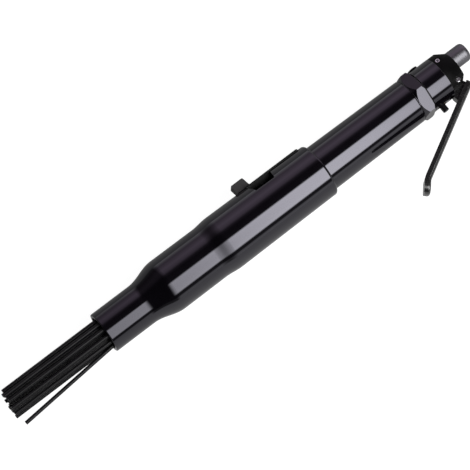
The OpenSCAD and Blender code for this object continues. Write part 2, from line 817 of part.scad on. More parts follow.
module anvil() {
    color("silver") tool_frame() {
        head_d = nozzle_bore_d + 3;
        edge = 1;
        rotate_extrude() polygon([
            [0, anvil_tail_s],
            [anvil_d / 2 - edge, anvil_tail_s],
            [anvil_d / 2, anvil_tail_s + edge],
            [anvil_d / 2, anvil_head_s],
            [head_d / 2, anvil_head_s],
            [head_d / 2, anvil_face_s],
            [0, anvil_face_s]
        ]);
    }
}

module nose_clip() {
    color("dimgray") tool_frame() difference() {
        tube(seat_d + 2.2, anvil_d + 4, clip_s + fixed_gap, clip_s + clip_len - fixed_gap);
        rotate(45) translate([-2.5, 0, clip_s - 1]) cube([5, seat_d, clip_len + 2]);
    }
}

module buffer_ring() {
    color("black") tool_frame()
        tube(seat_d - 2 * fixed_gap, anvil_d + 4 * turn_gap, clip_s + clip_len, nose_s);
}

module sleeve() {
    color("#232028") tool_frame() {
        rim_r = sleeve_rear_d / 2 - sleeve_bore_r;
        rim_round = rim_r - 0.3;
        lip = 0.8;
        difference() {
            rotate_extrude() polygon(concat(
                [[sleeve_bore_r, sleeve_s]],
                arc([sleeve_rear_d / 2 - rim_round, sleeve_s + rim_round], rim_round, -90, 0, 6),
                blend(sleeve_mid_d / 2, sleeve_front_d / 2 - 0.15, step_s, front_s, 8),
                blend(sleeve_front_d / 2, nozzle_d / 2, shoulder_s, nozzle_s, 12),
                [[nozzle_d / 2, mouth_s - lip], [nozzle_d / 2 - lip, mouth_s]],
                [[nozzle_bore_d / 2, mouth_s], [nozzle_bore_d / 2, spring_seat_s]],
                [[spring_bore_r, spring_seat_s], [spring_bore_r, spring_step_s]],
                [[sleeve_bore_r, spring_step_s]]
            ));
            tab_extrude(slot_w) translate([slot_s, nose_d / 4]) square([slot_len, sleeve_mid_d]);
            finger_pocket();
            cross_axis(catch_pin_s, catch_pin_y)
                cylinder(d = catch_pin_d + 2 * fixed_gap, h = sleeve_mid_d, center = true);
            rod(2 * (sleeve_bore_r + keeper_depth), keeper_s - fixed_gap, keeper_s + keeper_t + fixed_gap);
        }
    }
}

// Pocket across the slot's front end, with slanted ends, cut in from the side of the catch
module finger_pocket() {
    pocket_s = slot_end_s - pocket_len;
    rear_slant = 2;
    front_slant = 3.5;
    rotate([-90, 0, 0]) linear_extrude(sleeve_mid_d) for (side = [-1, 1]) polygon([
        [0, -pocket_s],
        [side * slot_w / 2, -pocket_s],
        [side * pocket_w / 2, -pocket_s - rear_slant],
        [side * pocket_w / 2, front_slant - slot_end_s],
        [side * slot_w / 2, -slot_end_s],
        [0, -slot_end_s]
    ]);
}

module catch() {
    color("#2e2e31") tool_frame() {
        plate_end_s = slot_end_s - side_gap;
        tab_end_s = tab_s + tab_len;
        under_r = (sleeve_rear_d + sleeve_swell * (tab_end_s - sleeve_s) / taper_len) / 2 + stop_gap + 0.1;
        foot_y = sqrt(pow(under_r, 2) - pow(tab_w / 2, 2));
        lean = tan(8);
        top_round = 0.9;
        spring_w = 5;
        difference() {
            union() {
                intersection() {
                    tube(2 * catch_r, 2 * catch_inner_r, catch_tail_s, plate_end_s);
                    tab_extrude(catch_w) translate([catch_tail_s, 0]) square([slot_len, catch_r]);
                }
                intersection() {
                    rod(2 * catch_r, catch_tail_s, plate_end_s);
                    tab_extrude(catch_w) translate([catch_pin_s - 2.6, catch_pin_y - knuckle_r])
                        square([5.2, catch_r]);
                }
                intersection() {
                    tube(2 * catch_inner_r + 1, 2 * tooth_r, tooth_s - 1, tooth_s + tooth_len + 1);
                    tab_extrude(tooth_w) translate([tooth_s, 0]) square([tooth_len, catch_r]);
                }
                difference() {
                    tab_extrude(tab_w) polygon(concat(
                        [[tab_s - 2, foot_y - 1], [plate_end_s, foot_y - 1], [plate_end_s, foot_y]],
                        [[tab_end_s, foot_y]],
                        arc([tab_end_s + lean * (tab_reach - foot_y) - top_round, tab_reach - top_round],
                            top_round, 0, 90, 4),
                        arc([tab_s + lean * (tab_reach - foot_y) + top_round, tab_reach - top_round],
                            top_round, 90, 180, 4),
                        [[tab_s, catch_r]]
                    ));
                    rod(2 * under_r, plate_end_s, tab_end_s + tab_len);
                }
            }
            cross_axis(catch_pin_s, catch_pin_y)
                cylinder(d = catch_pin_d + 2 * turn_gap, h = slot_w, center = true);
            tab_extrude(spring_w) translate([catch_tail_s - 1, 0])
                square([catch_pin_s + 4 - catch_tail_s, catch_pin_y + 2]);
        }
    }
}

module catch_pin() {
    color("silver") tool_frame() {
        pin_len = 2 * sqrt(pow(sleeve_rear_d / 2, 2) - pow(catch_pin_y + catch_pin_d / 2, 2)) - 0.2;
        cross_axis(catch_pin_s, catch_pin_y) cylinder(d = catch_pin_d, h = pin_len, center = true);
    }
}

module catch_spring() {
    color("silver") tool_frame() cross_axis(catch_pin_s, catch_pin_y)
        translate([0, 0, -catch_coil_len / 2]) coil(catch_coil_r, catch_wire, catch_turns, catch_coil_len);
}

// Angle and radius of a needle's place in the holder
function needle_ring(i) = i <= needle_rings[0] ? 0 : i <= needle_rings[0] + needle_rings[1] ? 1 : 2;
function needle_angle(i) =
    let (ring = needle_ring(i), first = ring == 0 ? 1 : ring == 1 ? 2 : 8)
    360 * (i - first) / needle_rings[ring];
function needle_place(i) = ring_radii[needle_ring(i)] * [cos(needle_angle(i)), sin(needle_angle(i))];

module needle_holder() {
    color("dimgray") tool_frame() difference() {
        rod(holder_d, holder_s, holder_end_s);
        for (i = [1:needle_count])
            translate(needle_place(i)) {
                rod(needle_d + 2 * slide_gap, holder_s - 1, holder_end_s + 1);
                rod(needle_head_d + 2 * slide_gap, holder_s - 1, holder_s + counterbore_len);
            }
    }
}

module holder_ring() {
    color("dimgray") tool_frame() difference() {
        tube(2 * (sleeve_bore_r + keeper_depth - fixed_gap), keeper_bore_d, keeper_s, keeper_s + keeper_t);
        rotate(-45) translate([-keeper_opening / 2, 0, keeper_s - 1])
            cube([keeper_opening, land_d, keeper_t + 2]);
    }
}

module needle_spring() {
    color("silver") tool_frame() translate([0, 0, holder_end_s + fixed_gap])
        coil(needle_coil_r, spring_wire, spring_turns, needle_spring_len);
}

// Wear of a needle's tip, which leaves the bundle's end ragged
function wear(i) = needle_wear * (1 + sin(137.5 * i * i)) / 2;

module needle(i) {
    color("#3a3a3e") tool_frame() translate(needle_place(i)) {
        tip_s = heads_s + needle_len - wear(i);
        rod(needle_head_d, heads_s, heads_s + needle_head);
        if (i == bent_needle) bent_shank(tip_s);
        else rod(needle_d, heads_s, tip_s);
    }
}

// Shank that turns outwards just behind the nozzle's mouth
module bent_shank(tip_s) {
    bend_s = mouth_s - bend_inset;
    bend = atan((bent_reach - outer_ring_r) / (tip_s - bend_s));
    reach = needle_len;
    intersection() {
        rod(needle_d, heads_s, bend_s + needle_d);
        translate([0, 0, bend_s]) rotate([bend / 2, 0, 0])
            translate([-needle_d, -needle_d, -reach]) cube([2 * needle_d, 2 * needle_d, reach]);
    }
    translate([0, 0, bend_s]) intersection() {
        rotate([bend, 0, 0]) rod(needle_d, -needle_d, (tip_s - bend_s) / cos(bend));
        rotate([bend / 2, 0, 0]) translate([-reach / 2, -reach / 2, 0]) cube(reach);
    }
}

rear_head();
inlet_bushing();
inlet_screen();
inlet_lock_screw();
lever_pin();
lever();
throttle_housing();
valve_bush();
stem_seal();
valve_stem();
valve_ball();
valve_seat();
valve_spring();
valve_plug();
plug_seal();
gap_ring();
spigot_seal();
barrel();
valve_box();
valve_plate();
valve_cap();
valve_dowel();
piston();
anvil_bush();
anvil();
nose_clip();
buffer_ring();
sleeve();
catch();
catch_pin();
catch_spring();
needle_holder();
holder_ring();
needle_spring();
for (i = [1:needle_count])
    needle(i);
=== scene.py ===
"""Looks of an inline air needle scaler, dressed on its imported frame.

Sizes are in millimetres until a piece is delivered. A shape is made in the tool's own axes: X is the
station, forward from the inlet's mouth, Y leads towards the throttle lever and Z is up.
"""

import json
import logging
import math
from dataclasses import dataclass
from enum import Enum
from typing import Dict, Iterable, List, Optional, Sequence, Tuple, Union

import bmesh
import bpy
from mathutils import Matrix, Vector


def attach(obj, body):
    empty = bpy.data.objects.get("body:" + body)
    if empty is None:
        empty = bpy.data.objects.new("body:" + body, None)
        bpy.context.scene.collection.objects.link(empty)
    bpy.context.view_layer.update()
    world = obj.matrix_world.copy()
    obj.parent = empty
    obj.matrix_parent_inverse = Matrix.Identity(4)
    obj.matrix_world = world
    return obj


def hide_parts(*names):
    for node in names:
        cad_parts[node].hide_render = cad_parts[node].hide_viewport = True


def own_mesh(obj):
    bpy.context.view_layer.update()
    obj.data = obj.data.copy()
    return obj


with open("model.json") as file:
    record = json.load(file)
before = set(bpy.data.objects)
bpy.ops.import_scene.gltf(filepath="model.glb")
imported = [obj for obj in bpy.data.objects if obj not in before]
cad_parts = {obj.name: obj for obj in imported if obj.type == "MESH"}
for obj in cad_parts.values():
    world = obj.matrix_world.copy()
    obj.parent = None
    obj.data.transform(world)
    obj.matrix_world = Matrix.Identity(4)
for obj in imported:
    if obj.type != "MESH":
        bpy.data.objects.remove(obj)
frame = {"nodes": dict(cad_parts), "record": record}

Point = Tuple[float, float]
Triple = Tuple[float, float, float]
Box = Tuple[Triple, Triple]
Profile = Sequence[Point]
Face = bmesh.types.BMFace
Socket = bpy.types.NodeSocket
Feed = Union[Socket, float, Sequence[float]]
Feeds = Dict[Union[int, str], Feed]

MM = 0.001
# How far the inlet's axis is from the tool's, and where the lever's pin is on X and Y.
INLET_OFFSET = 5.5
LEVER_PIN: Point = (23.0, 11.3)
FULL_TURN = 2 * math.pi
X_AXIS: Triple = (1.0, 0.0, 0.0)
Z_AXIS: Triple = (0.0, 0.0, 1.0)
CENTRE: Triple = (0.0, 0.0, 0.0)
# An edge that turns further than this, in degrees, stays sharp. Small edges have one common rounding.
CREASE = 32.0
EDGE = 0.3
# Points closer than these are one point, after shaping and after cutting.
MERGE = 0.002
NEAR = 0.01
# How far cutters reach past what they cut: outwards, to the sides and right through.
CUT_PAST = 30.0
CUT_SIDE = 25.0
CUT_THROUGH = 20.0
# Spans of the patterns that spread a finish's tones and its roughness, and how strongly its marks stand out.
CLOUD_SPLIT: Point = (0.34, 0.66)
MARK_SPLIT: Point = (0.3, 0.7)
MARK_STRENGTH = 0.35
# How far a face leans into its rounded edge, as a cosine, where the edge wear and painted edge highlight start
# and where they are full.
EDGE_BEND: Point = (0.99, 0.85)
EDGE_SAMPLES = 6
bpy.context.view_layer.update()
TOOL_AXES = (Matrix.Translation((0, -INLET_OFFSET * MM, 0)) @ Matrix.Rotation(math.pi, 4, "Z")
             @ Matrix.Scale(MM, 4))

log = logging.getLogger("needle_scaler")


class Grain(Enum):
    """How the fine marks of a finish run, as the scale of its pattern along X, Y and Z."""

    TURNED = (1500.0, 14.0, 14.0)
    DRAWN = (16.0, 1300.0, 1300.0)
    CAST = (620.0, 620.0, 620.0)
    GROUND = (300.0, 1400.0, 300.0)
    MOULDED = (900.0, 900.0, 900.0)


class Cut(Enum):
    """What a cutter does to the shape that it meets."""

    AWAY = "DIFFERENCE"
    COMMON = "INTERSECT"
    ADD = "UNION"


class Wiring:
    """Adds nodes to a node tree. An input is fed with a value, or with the socket that it is linked to."""

    def __init__(self, tree: bpy.types.NodeTree) -> None:
        """Takes the tree to add to."""
        self.tree = tree

    def feed(self, node: bpy.types.Node, inputs: Feeds) -> bpy.types.Node:
        """Feeds inputs of a node.

        Args:
            node: The node.
            inputs: What goes into its inputs, by their names or numbers.

        Returns:
            The node.
        """
        for name, value in inputs.items():
            if isinstance(value, Socket):
                self.tree.links.new(value, node.inputs[name])
            else:
                node.inputs[name].default_value = value
        return node

    def add(self, kind: str, inputs: Feeds, **settings: Union[str, int]) -> bpy.types.Node:
        """Adds a node.

        Args:
            kind: Its kind.
            inputs: What goes into its inputs.
            settings: What it is set to before it is fed.

        Returns:
            The node.
        """
        node = self.tree.nodes.new("ShaderNode" + kind)
        for name, value in settings.items():
            setattr(node, name, value)
        return self.feed(node, inputs)

    def reckon(self, operation: str, first: Feed, second: Feed = 0.0) -> Socket:
        """Adds a sum of one or two values and returns its outcome."""
        return self.add("Math", {0: first, 1: second}, operation=operation).outputs[0]

    def remap(self, value: Feed, source: Point, target: Point = (0.0, 1.0), curve: str = "LINEAR") -> Socket:
        """Maps a value from one range onto another and returns the outcome."""
        step = self.add("MapRange", {"Value": value, "From Min": source[0], "From Max": source[1],
                                     "To Min": target[0], "To Max": target[1]}, interpolation_type=curve)
        return step.outputs["Result"]

    def mix(self, factor: Feed, first: Feed, second: Feed, blend: str = "MIX") -> Socket:
        """Mixes a share of a second colour into a first one and returns the outcome."""
        step = self.add("Mix", {"Factor": factor, "A": first, "B": second}, data_type="RGBA", blend_type=blend)
        return step.outputs["Result"]

    def parts(self, vector: Socket) -> bpy.types.NodeOutputs:
        """Splits a vector and returns its parts."""
        return self.add("SeparateXYZ", {0: vector}).outputs


@dataclass(frozen=True)
class Finish:
    """A surface finish: two tones, a range of roughness and fine marks that run with the grain."""

    name: str
    tone: Triple
    second_tone: Triple
    metallic: float
    smooth: float
    rough: float
    grain: Grain
    mark_depth: float
    refraction: float = 1.5
    mirror_tint: Triple = (1.0, 1.0, 1.0)
    # Rounded edges are lightened towards this tone, partly as wear and partly as a painted edge highlight.
    edge_wear_and_highlight_tone: Triple = (0.2, 0.19, 0.2)
    edge_wear_and_highlight: float = 0.3
    edge_wear_and_highlight_width: float = 0.4
    mottle: float = 55.0

    def material(self) -> bpy.types.Material:
        """Builds the finish once and returns it.

        Returns:
            The material of this finish.
        """
        made = bpy.data.materials.get(self.name)
        if made:
            return made
        made = bpy.data.materials.new(self.name)
        made.use_nodes = True
        wires = Wiring(made.node_tree)
        place = wires.add("TexCoord", {}).outputs["Object"]
        along = wires.add("Mapping", {"Vector": place, "Scale": self.grain.value}).outputs["Vector"]
        marks = wires.add("TexNoise", {"Vector": along, "Scale": 1.0, "Detail": 3.0}).outputs["Fac"]
        cloud = wires.add("TexNoise", {"Vector": place, "Scale": self.mottle, "Detail": 4.0}).outputs["Fac"]
        ramp = wires.add("ValToRGB", {"Fac": cloud})
        tones = (self.tone, self.second_tone)
        for point, position, tone in zip(ramp.color_ramp.elements, CLOUD_SPLIT, tones):
            point.position, point.color = position, (*tone, 1)
        # Edge wear and a painted edge highlight: lighter along rounded edges, spread by the cloud.
        rubbed_and_lit = wires.reckon("MULTIPLY", self.edges(wires), cloud)
        bump = wires.add("Bump", {"Strength": MARK_STRENGTH, "Distance": self.mark_depth * MM, "Height": marks})
        wires.feed(made.node_tree.nodes["Principled BSDF"], {
            "Metallic": self.metallic, "IOR": self.refraction, "Specular Tint": (*self.mirror_tint, 1),
            "Base Color": wires.mix(rubbed_and_lit, ramp.outputs["Color"], (*self.edge_wear_and_highlight_tone, 1)),
            "Roughness": wires.remap(marks, MARK_SPLIT, (self.smooth, self.rough)),
            "Normal": bump.outputs["Normal"]})
        return made

    def edges(self, wires: Wiring) -> Socket:
        """How much edge wear and painted edge highlight a place gets, which is most along the edges.

        Args:
            wires: The finish's nodes.

        Returns:
            The edge wear and painted edge highlight.
        """
        plain = wires.add("NewGeometry", {}).outputs["Normal"]
        rounded = wires.add("Bevel", {"Radius": self.edge_wear_and_highlight_width * MM}, samples=EDGE_SAMPLES).outputs["Normal"]
        bent = wires.add("VectorMath", {0: plain, 1: rounded}, operation="DOT_PRODUCT")
        return wires.remap(bent.outputs["Value"], EDGE_BEND, (0.0, self.edge_wear_and_highlight))


# Each has its name, two tones, share of metal, least and most roughness, grain and depth of marks.
CATCH_BLACK = Finish(
    "oiled_catch_arm", (0.0015, 0.0014, 0.0016), (0.0026, 0.0025, 0.0027), 0.0, 0.36, 0.48, Grain.CAST, 0.01,
    refraction=1.2)
DARK_STEEL = Finish(
    "dark_drawn_steel", (0.0045, 0.0043, 0.0052), (0.0085, 0.0082, 0.0092), 0.0, 0.24, 0.36, Grain.DRAWN, 0.004,
    refraction=1.3)

SLOT_FINISHES: Dict[str, Finish] = {
    "gloss_black": Finish(
        "gloss_black_plate", (0.0016, 0.0013, 0.002), (0.0025, 0.002, 0.0032), 0.0, 0.06, 0.09, Grain.TURNED,
        0.0012, refraction=1.63, mirror_tint=(0.9, 0.88, 1.0)),
    "head_black": Finish(
        "cast_head_black", (0.0015, 0.0015, 0.0016), (0.003, 0.0029, 0.0032), 0.0, 0.4, 0.55, Grain.CAST, 0.05,
        refraction=1.16),
    "inlet_grey": Finish(
        "satin_inlet_steel", (0.155, 0.153, 0.165), (0.195, 0.192, 0.206), 1.0, 0.38, 0.48, Grain.TURNED, 0.008,
        edge_wear_and_highlight_tone=(0.35, 0.35, 0.36)),
    "lever_black": Finish(
        "semi_gloss_lever", (0.003, 0.0029, 0.0032), (0.005, 0.0048, 0.0053), 0.0, 0.2, 0.3, Grain.CAST, 0.006,
        refraction=1.85),
    "catch_grey": Finish(
        "phosphated_catch", (0.026, 0.024, 0.025), (0.036, 0.033, 0.034), 0.0, 0.48, 0.6, Grain.CAST, 0.02),
    "dark_steel": DARK_STEEL,
    "steel": Finish("ground_steel", (0.5, 0.5, 0.52), (0.6, 0.6, 0.61), 1.0, 0.2, 0.32, Grain.GROUND, 0.004),
    "brass": Finish(
        "machined_brass", (0.56, 0.4, 0.17), (0.66, 0.48, 0.22), 1.0, 0.2, 0.32, Grain.TURNED, 0.006),
    "rubber": Finish(
        "black_rubber", (0.012, 0.012, 0.012), (0.02, 0.02, 0.02), 0.0, 0.6, 0.75, Grain.MOULDED, 0.02),
    "seat_plastic": Finish(
        "moulded_seat", (0.78, 0.75, 0.66), (0.84, 0.81, 0.73), 0.0, 0.3, 0.42, Grain.MOULDED, 0.01),
}


def stand(name: str, data: bpy.types.ID) -> bpy.types.Object:
    """Adds an object to the scene.

    Args:
        name: Its name.
        data: Its mesh, light or camera.

    Returns:
        The object.
    """
    piece = bpy.data.objects.new(name, data)
    bpy.context.scene.collection.objects.link(piece)
    return piece


class Shape:
    """A mesh that is being shaped, in millimetres and in the tool's axes."""

    def __init__(self) -> None:
        """Starts an empty shape."""
        self.mesh = bmesh.new()

    def turn(self, profile: Profile, steps: int, hollow: bool = False) -> "Shape":
        """Turns a profile of (station, radius) points round X.

        Args:
            profile: The points in order. A solid one starts and ends on the axis.
            steps: Faces round the axis.
            hollow: Whether the profile closes on itself, as a ring's section does.

        Returns:
            This shape.
        """
        points = [self.mesh.verts.new((s, r, 0)) for s, r in profile]
        ends = points[1:] + points[:1] if hollow else points[1:]
        lines = [self.mesh.edges.new(pair) for pair in zip(points, ends)]
        bmesh.ops.spin(self.mesh, geom=points + lines, cent=CENTRE, axis=X_AXIS, angle=FULL_TURN,
                       steps=steps, use_merge=True)
        return self.close()

    def close(self) -> "Shape":
        """Merges doubles, drops faces left inside and points every other face outwards.

        Returns:
            This shape.
        """
        bmesh.ops.remove_doubles(self.mesh, verts=self.mesh.verts[:], dist=MERGE)
        inside = [f for f in self.mesh.faces if all(len(e.link_faces) > 2 for e in f.edges)]
        bmesh.ops.delete(self.mesh, geom=inside, context="FACES_ONLY")
        bmesh.ops.recalc_face_normals(self.mesh, faces=self.mesh.faces[:])
        return self

    def round_rings(self, corners: Iterable[Triple], segments: int) -> "Shape":
        """Rounds the rings of a turned shape.

        Args:
            corners: Station, radius and rounding of each ring.
            segments: Faces across each rounding.

        Returns:
            This shape.
        """
        for station, radius, width in corners:
            ring = [e for e in self.mesh.edges
                    if all(abs(v.co.x - station) < NEAR and abs(math.hypot(v.co.y, v.co.z) - radius) < 2 * NEAR
                           for v in e.verts)]
            self.bevel(ring, width, segments)
        return self

    def face(self, corners: Iterable[Triple]) -> Face:
        """Adds a face between some corners and returns it."""
        return self.mesh.faces.new([self.mesh.verts.new(corner) for corner in corners])

    def bevel(self, edges: Sequence[bmesh.types.BMEdge], width: float, segments: int,
              clamp: bool = False) -> "Shape":
        """Rounds some edges, and holds roundings that meet apart where they are to be clamped."""
        bmesh.ops.bevel(self.mesh, geom=edges, offset=width, segments=segments, profile=0.5, affect="EDGES",
                        material=-1, clamp_overlap=clamp)
        return self

    def lengthen(self, face: Face, run: Triple) -> Face:
        """Draws a face out along a run.

        Args:
            face: The face.
            run: How far it goes.

        Returns:
            The face at the new end.
        """
        drawn = bmesh.ops.extrude_face_region(self.mesh, geom=[face], use_keep_orig=True)["geom"]
        bmesh.ops.translate(self.mesh, verts=[v for v in drawn if isinstance(v, bmesh.types.BMVert)], vec=run)
        return next(f for f in drawn if isinstance(f, Face))

    def swing(self, face: Face, centre: Triple, axis: Triple, angle: float, steps: int,
              climb: float = 0.0) -> Face:
        """Sweeps a face round an axis, with a climb along X at each step, and returns the face at the end."""
        last = bmesh.ops.spin(self.mesh, geom=[face], cent=centre, axis=axis, angle=angle, steps=steps,
                              dvec=(climb, 0, 0))["geom_last"]
        return next(f for f in last if isinstance(f, Face))

    def block(self, low: Triple, high: Triple) -> "Shape":
        """Adds a block between its lowest and its highest corner."""
        bmesh.ops.create_cube(self.mesh, size=1, matrix=Matrix.LocRotScale(
            (Vector(high) + Vector(low)) / 2, None, Vector(high) - Vector(low)))
        return self

    def rod(self, radius: float, start: Triple, end: Triple, steps: int) -> "Shape":
        """Adds a plain rod.

        Args:
            radius: Its radius.
            start: Middle of its first end.
            end: Middle of its other end.
            steps: Faces round it.

        Returns:
            This shape.
        """
        run = Vector(end) - Vector(start)
        turn = Vector(Z_AXIS).rotation_difference(run).to_matrix().to_4x4()
        middle = Matrix.Translation((Vector(start) + Vector(end)) / 2) @ turn
        bmesh.ops.create_cone(self.mesh, cap_ends=True, segments=steps, radius1=radius, radius2=radius,
                              depth=run.length, matrix=middle)
        return self

    def slab(self, outline: Profile, low: float, high: float) -> "Shape":
        """Adds a slab, with its outline drawn on X and Y, between two heights on Z."""
        self.lengthen(self.face((x, y, low) for x, y in outline), (0, 0, high - low))
        return self.close()

    def soften(self, width: float, segments: int = 2, angle: float = 38.0) -> "Shape":
        """Rounds every edge that turns by more than an angle, in degrees."""
        sharp = [e for e in self.mesh.edges if e.is_manifold and e.calc_face_angle() > math.radians(angle)]
        return self.bevel(sharp, width, segments, clamp=True)

    def place(self, matrix: Matrix) -> "Shape":
        """Moves the whole shape."""
        bmesh.ops.transform(self.mesh, matrix=matrix, verts=self.mesh.verts[:])
        return self

    def join(self, other: "Shape") -> "Shape":
        """Adds another shape's faces to this one.

        Args:
            other: The other shape, which is used up.

        Returns:
            This shape.
        """
        carried = other.data("carried")
        self.mesh.from_mesh(carried)
        bpy.data.meshes.remove(carried)
        return self

    def data(self, name: str) -> bpy.types.Mesh:
        """Hands the shape over as mesh data, which uses it up.

        Args:
            name: Name of the data.

        Returns:
            The data.
        """
        made = bpy.data.meshes.new(name)
        self.mesh.to_mesh(made)
        self.mesh.free()
        return made

    def carve(self, cutter: "Shape", cut: Cut = Cut.AWAY) -> "Shape":
        """Cuts this shape with another, which is used up.

        Args:
            cutter: Closed shape to cut with.
            cut: What the cutter does.

        Returns:
            This shape.
        """
        held = [stand(name, shape.data(name)) for shape, name in ((self, "held"), (cutter, "cutter"))]
        step = held[0].modifiers.new("cut", "BOOLEAN")
        step.operation, step.object, step.solver = cut.value, held[1], "EXACT"
        self.mesh = bmesh.new()
        self.mesh.from_object(held[0], bpy.context.evaluated_depsgraph_get())
        for thing in held:
            bpy.data.meshes.remove(thing.data)
        bmesh.ops.remove_doubles(self.mesh, verts=self.mesh.verts[:], dist=NEAR)
        return self


def deliver(shape: Shape, body: str, slot: str, *nodes: str, part: str = "",
            finish: Optional[Finish] = None) -> bpy.types.Object:
    """Makes a finished piece of a shape and sets it on the frame.

    Args:
        shape: The shape, which is used up.
        body: Body of the frame that it rides on.
        slot: The record's material slot.
        nodes: Nodes of the frame that it stands for. The first one names it.
        part: Which part of that node it is.
        finish: Its finish, where that isn't the slot's own.

    Returns:
        The piece.
    """
    name = f"{nodes[0]}{part}_piece"
    data = shape.place(TOOL_AXES).data(name)
    data.shade_smooth()
    data.set_sharp_from_angle(angle=math.radians(CREASE))
    data.materials.append((finish or SLOT_FINISHES[slot]).material())
    piece = stand(name, data)
    even = piece.modifiers.new("even_shading", "WEIGHTED_NORMAL")
    even.mode, even.weight, even.keep_sharp = "FACE_AREA", 80, True
    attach(piece, body)
    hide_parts(*nodes)
    log.info("%s: %d faces, rides on %s", name, len(data.polygons), body)
    return piece


def shares(count: int) -> List[float]:
    """Even shares from 0 to 1, with both ends included."""
    return [i / count for i in range(count + 1)]


def ease(start: Point, end: Point, count: int) -> List[Point]:
    """Points (station, radius) of a smooth change of radius between two points, both of them included."""
    return [(start[0] + (end[0] - start[0]) * t,
             start[1] + (end[1] - start[1]) * (1 - math.cos(math.pi * t)) / 2) for t in shares(count)]


@dataclass
class Inlet:
    """Air inlet bushing with its tapped mouth."""

    radius: float = 7.6
    length: float = 15.5
    nose: float = 3.2
    nose_depth: float = 1.7
    shank: Profile = ((15.5, 6.28), (35.5, 6.28), (35.5, 4.0), (13.0, 4.0), (13.0, 5.7), (0.3, 5.7))
    bore: float = 5.7
    pitch: float = 1.34
    turns: int = 8
    turn_steps: int = 40
    thread_start: float = 0.5
    thread_radii: Point = (-0.55, 0.05)
    thread_section: Sequence[float] = (0.04, 0.44, 0.56, 0.96)

    def build(self) -> None:
        """Builds the bushing and its thread as one piece."""
        sweep = [math.pi / 2 * t for t in shares(count=12)]
        mouth = [(self.nose * (1 - math.cos(a)), self.radius - self.nose_depth * (1 - math.sin(a)))
                 for a in sweep]
        bushing = Shape().turn([*mouth, (self.length, self.radius), *self.shank], steps=96, hollow=True)
        bushing.round_rings([(self.length, self.radius, EDGE)], segments=4)
        bushing.join(self.thread()).place(Matrix.Translation((0, -INLET_OFFSET, 0)))
        deliver(bushing, "body", "inlet_grey", "inlet_bushing")

    def thread(self) -> Shape:
        """The thread, as one ridge that winds into the bore.

        Returns:
            The ridge's shape.
        """
        ridge = Shape()
        crest, foot = (self.bore + step for step in self.thread_radii)
        section = ridge.face((self.thread_start + self.pitch * t, r, 0)
                             for t, r in zip(self.thread_section, (foot, crest, crest, foot)))
        ridge.swing(section, CENTRE, X_AXIS, FULL_TURN * self.turns, self.turn_steps * self.turns,
                    self.pitch / self.turn_steps)
        return ridge.close()


@dataclass
class Head:
    """Rear head with the lever's slot, its pin and the inlet's lock screw."""

    radius: float = 17.5
    outline: Profile = ((15.5, 0.0), (15.5, 13.2), (22.5, 17.5), (29.5, 17.5), (29.5, 0.0))
    flat: Profile = ((14.5, 9.0), (19.5, 14.0), (30.5, 14.0), (30.5, CUT_PAST), (14.5, CUT_PAST))
    slot: Box = ((10.5, 6.8, -4.4), (34.5, CUT_PAST, 4.4))
    edge: float = 0.35
    pin_radius: float = 2.0
    pin_play: float = 0.05
    sunk: float = 0.4
    pin_edge: float = 0.4
    dish_radius: float = 0.9
    dish_depth: float = 0.3
    screw_station: float = 26.0
    screw_radius: float = 1.8
    screw_play: float = 0.1
    screw_lean: float = 15.0
    screw_foot: float = 6.32
    screw_hole: Point = (4.0, 20.0)
    screw_edge: float = 0.2
    socket_radius: float = 0.95
    socket_depth: float = 2.0

    def build(self) -> None:
        """Builds the head, the pin and the lock screw."""
        body = Shape().turn(self.outline, steps=128)
        body.carve(Shape().slab(self.flat, -CUT_SIDE, CUT_SIDE))
        body.carve(Shape().block(*self.slot))
        body.carve(Shape().rod(self.pin_radius + self.pin_play, (*LEVER_PIN, -CUT_THROUGH),
                               (*LEVER_PIN, CUT_THROUGH), steps=32))
        low, high = self.screw_hole
        body.carve(Shape().rod(self.screw_radius + self.screw_play, self.screw_point(low),
                               self.screw_point(high), steps=32))
        body.soften(self.edge, segments=3)
        deliver(body, "body", "head_black", "rear_head")
        self.build_pin()
        self.build_screw()

    def screw_point(self, reach: float) -> Triple:
        """A point on the lock screw's axis, at a distance from the inlet's axis."""
        lean = math.radians(self.screw_lean)
        return (self.screw_station, -INLET_OFFSET - reach * math.sin(lean), reach * math.cos(lean))

    def build_pin(self) -> None:
        """Builds the lever's pin, with dished ends."""
        half = math.sqrt(self.radius ** 2 - LEVER_PIN[1] ** 2) - self.sunk
        r, dish, depth = self.pin_radius, self.dish_radius, self.dish_depth
        pin = Shape().turn([(-half + depth, 0), (-half, dish), (-half, r), (half, r), (half, dish),
                            (half - depth, 0)], steps=40)
        pin.round_rings([(-half, r, self.pin_edge), (half, r, self.pin_edge)], segments=3)
        pin.place(Matrix.Translation((*LEVER_PIN, 0)) @ Matrix.Rotation(math.pi / 2, 4, "Y"))
        deliver(pin, "body", "steel", "lever_pin")

    def build_screw(self) -> None:
        """Builds the lock screw with its hexagon socket."""
        lean = INLET_OFFSET * math.sin(math.radians(self.screw_lean))
        reach = math.sqrt(self.radius ** 2 - INLET_OFFSET ** 2 + lean ** 2) - lean - self.sunk
        screw = Shape().rod(self.screw_radius, self.screw_point(self.screw_foot), self.screw_point(reach),
                            steps=40)
        screw.carve(Shape().rod(self.socket_radius, self.screw_point(reach - self.socket_depth),
                                self.screw_point(reach + self.socket_depth), steps=6))
        screw.soften(self.screw_edge)
        deliver(screw, "body", "steel", "inlet_lock_screw")


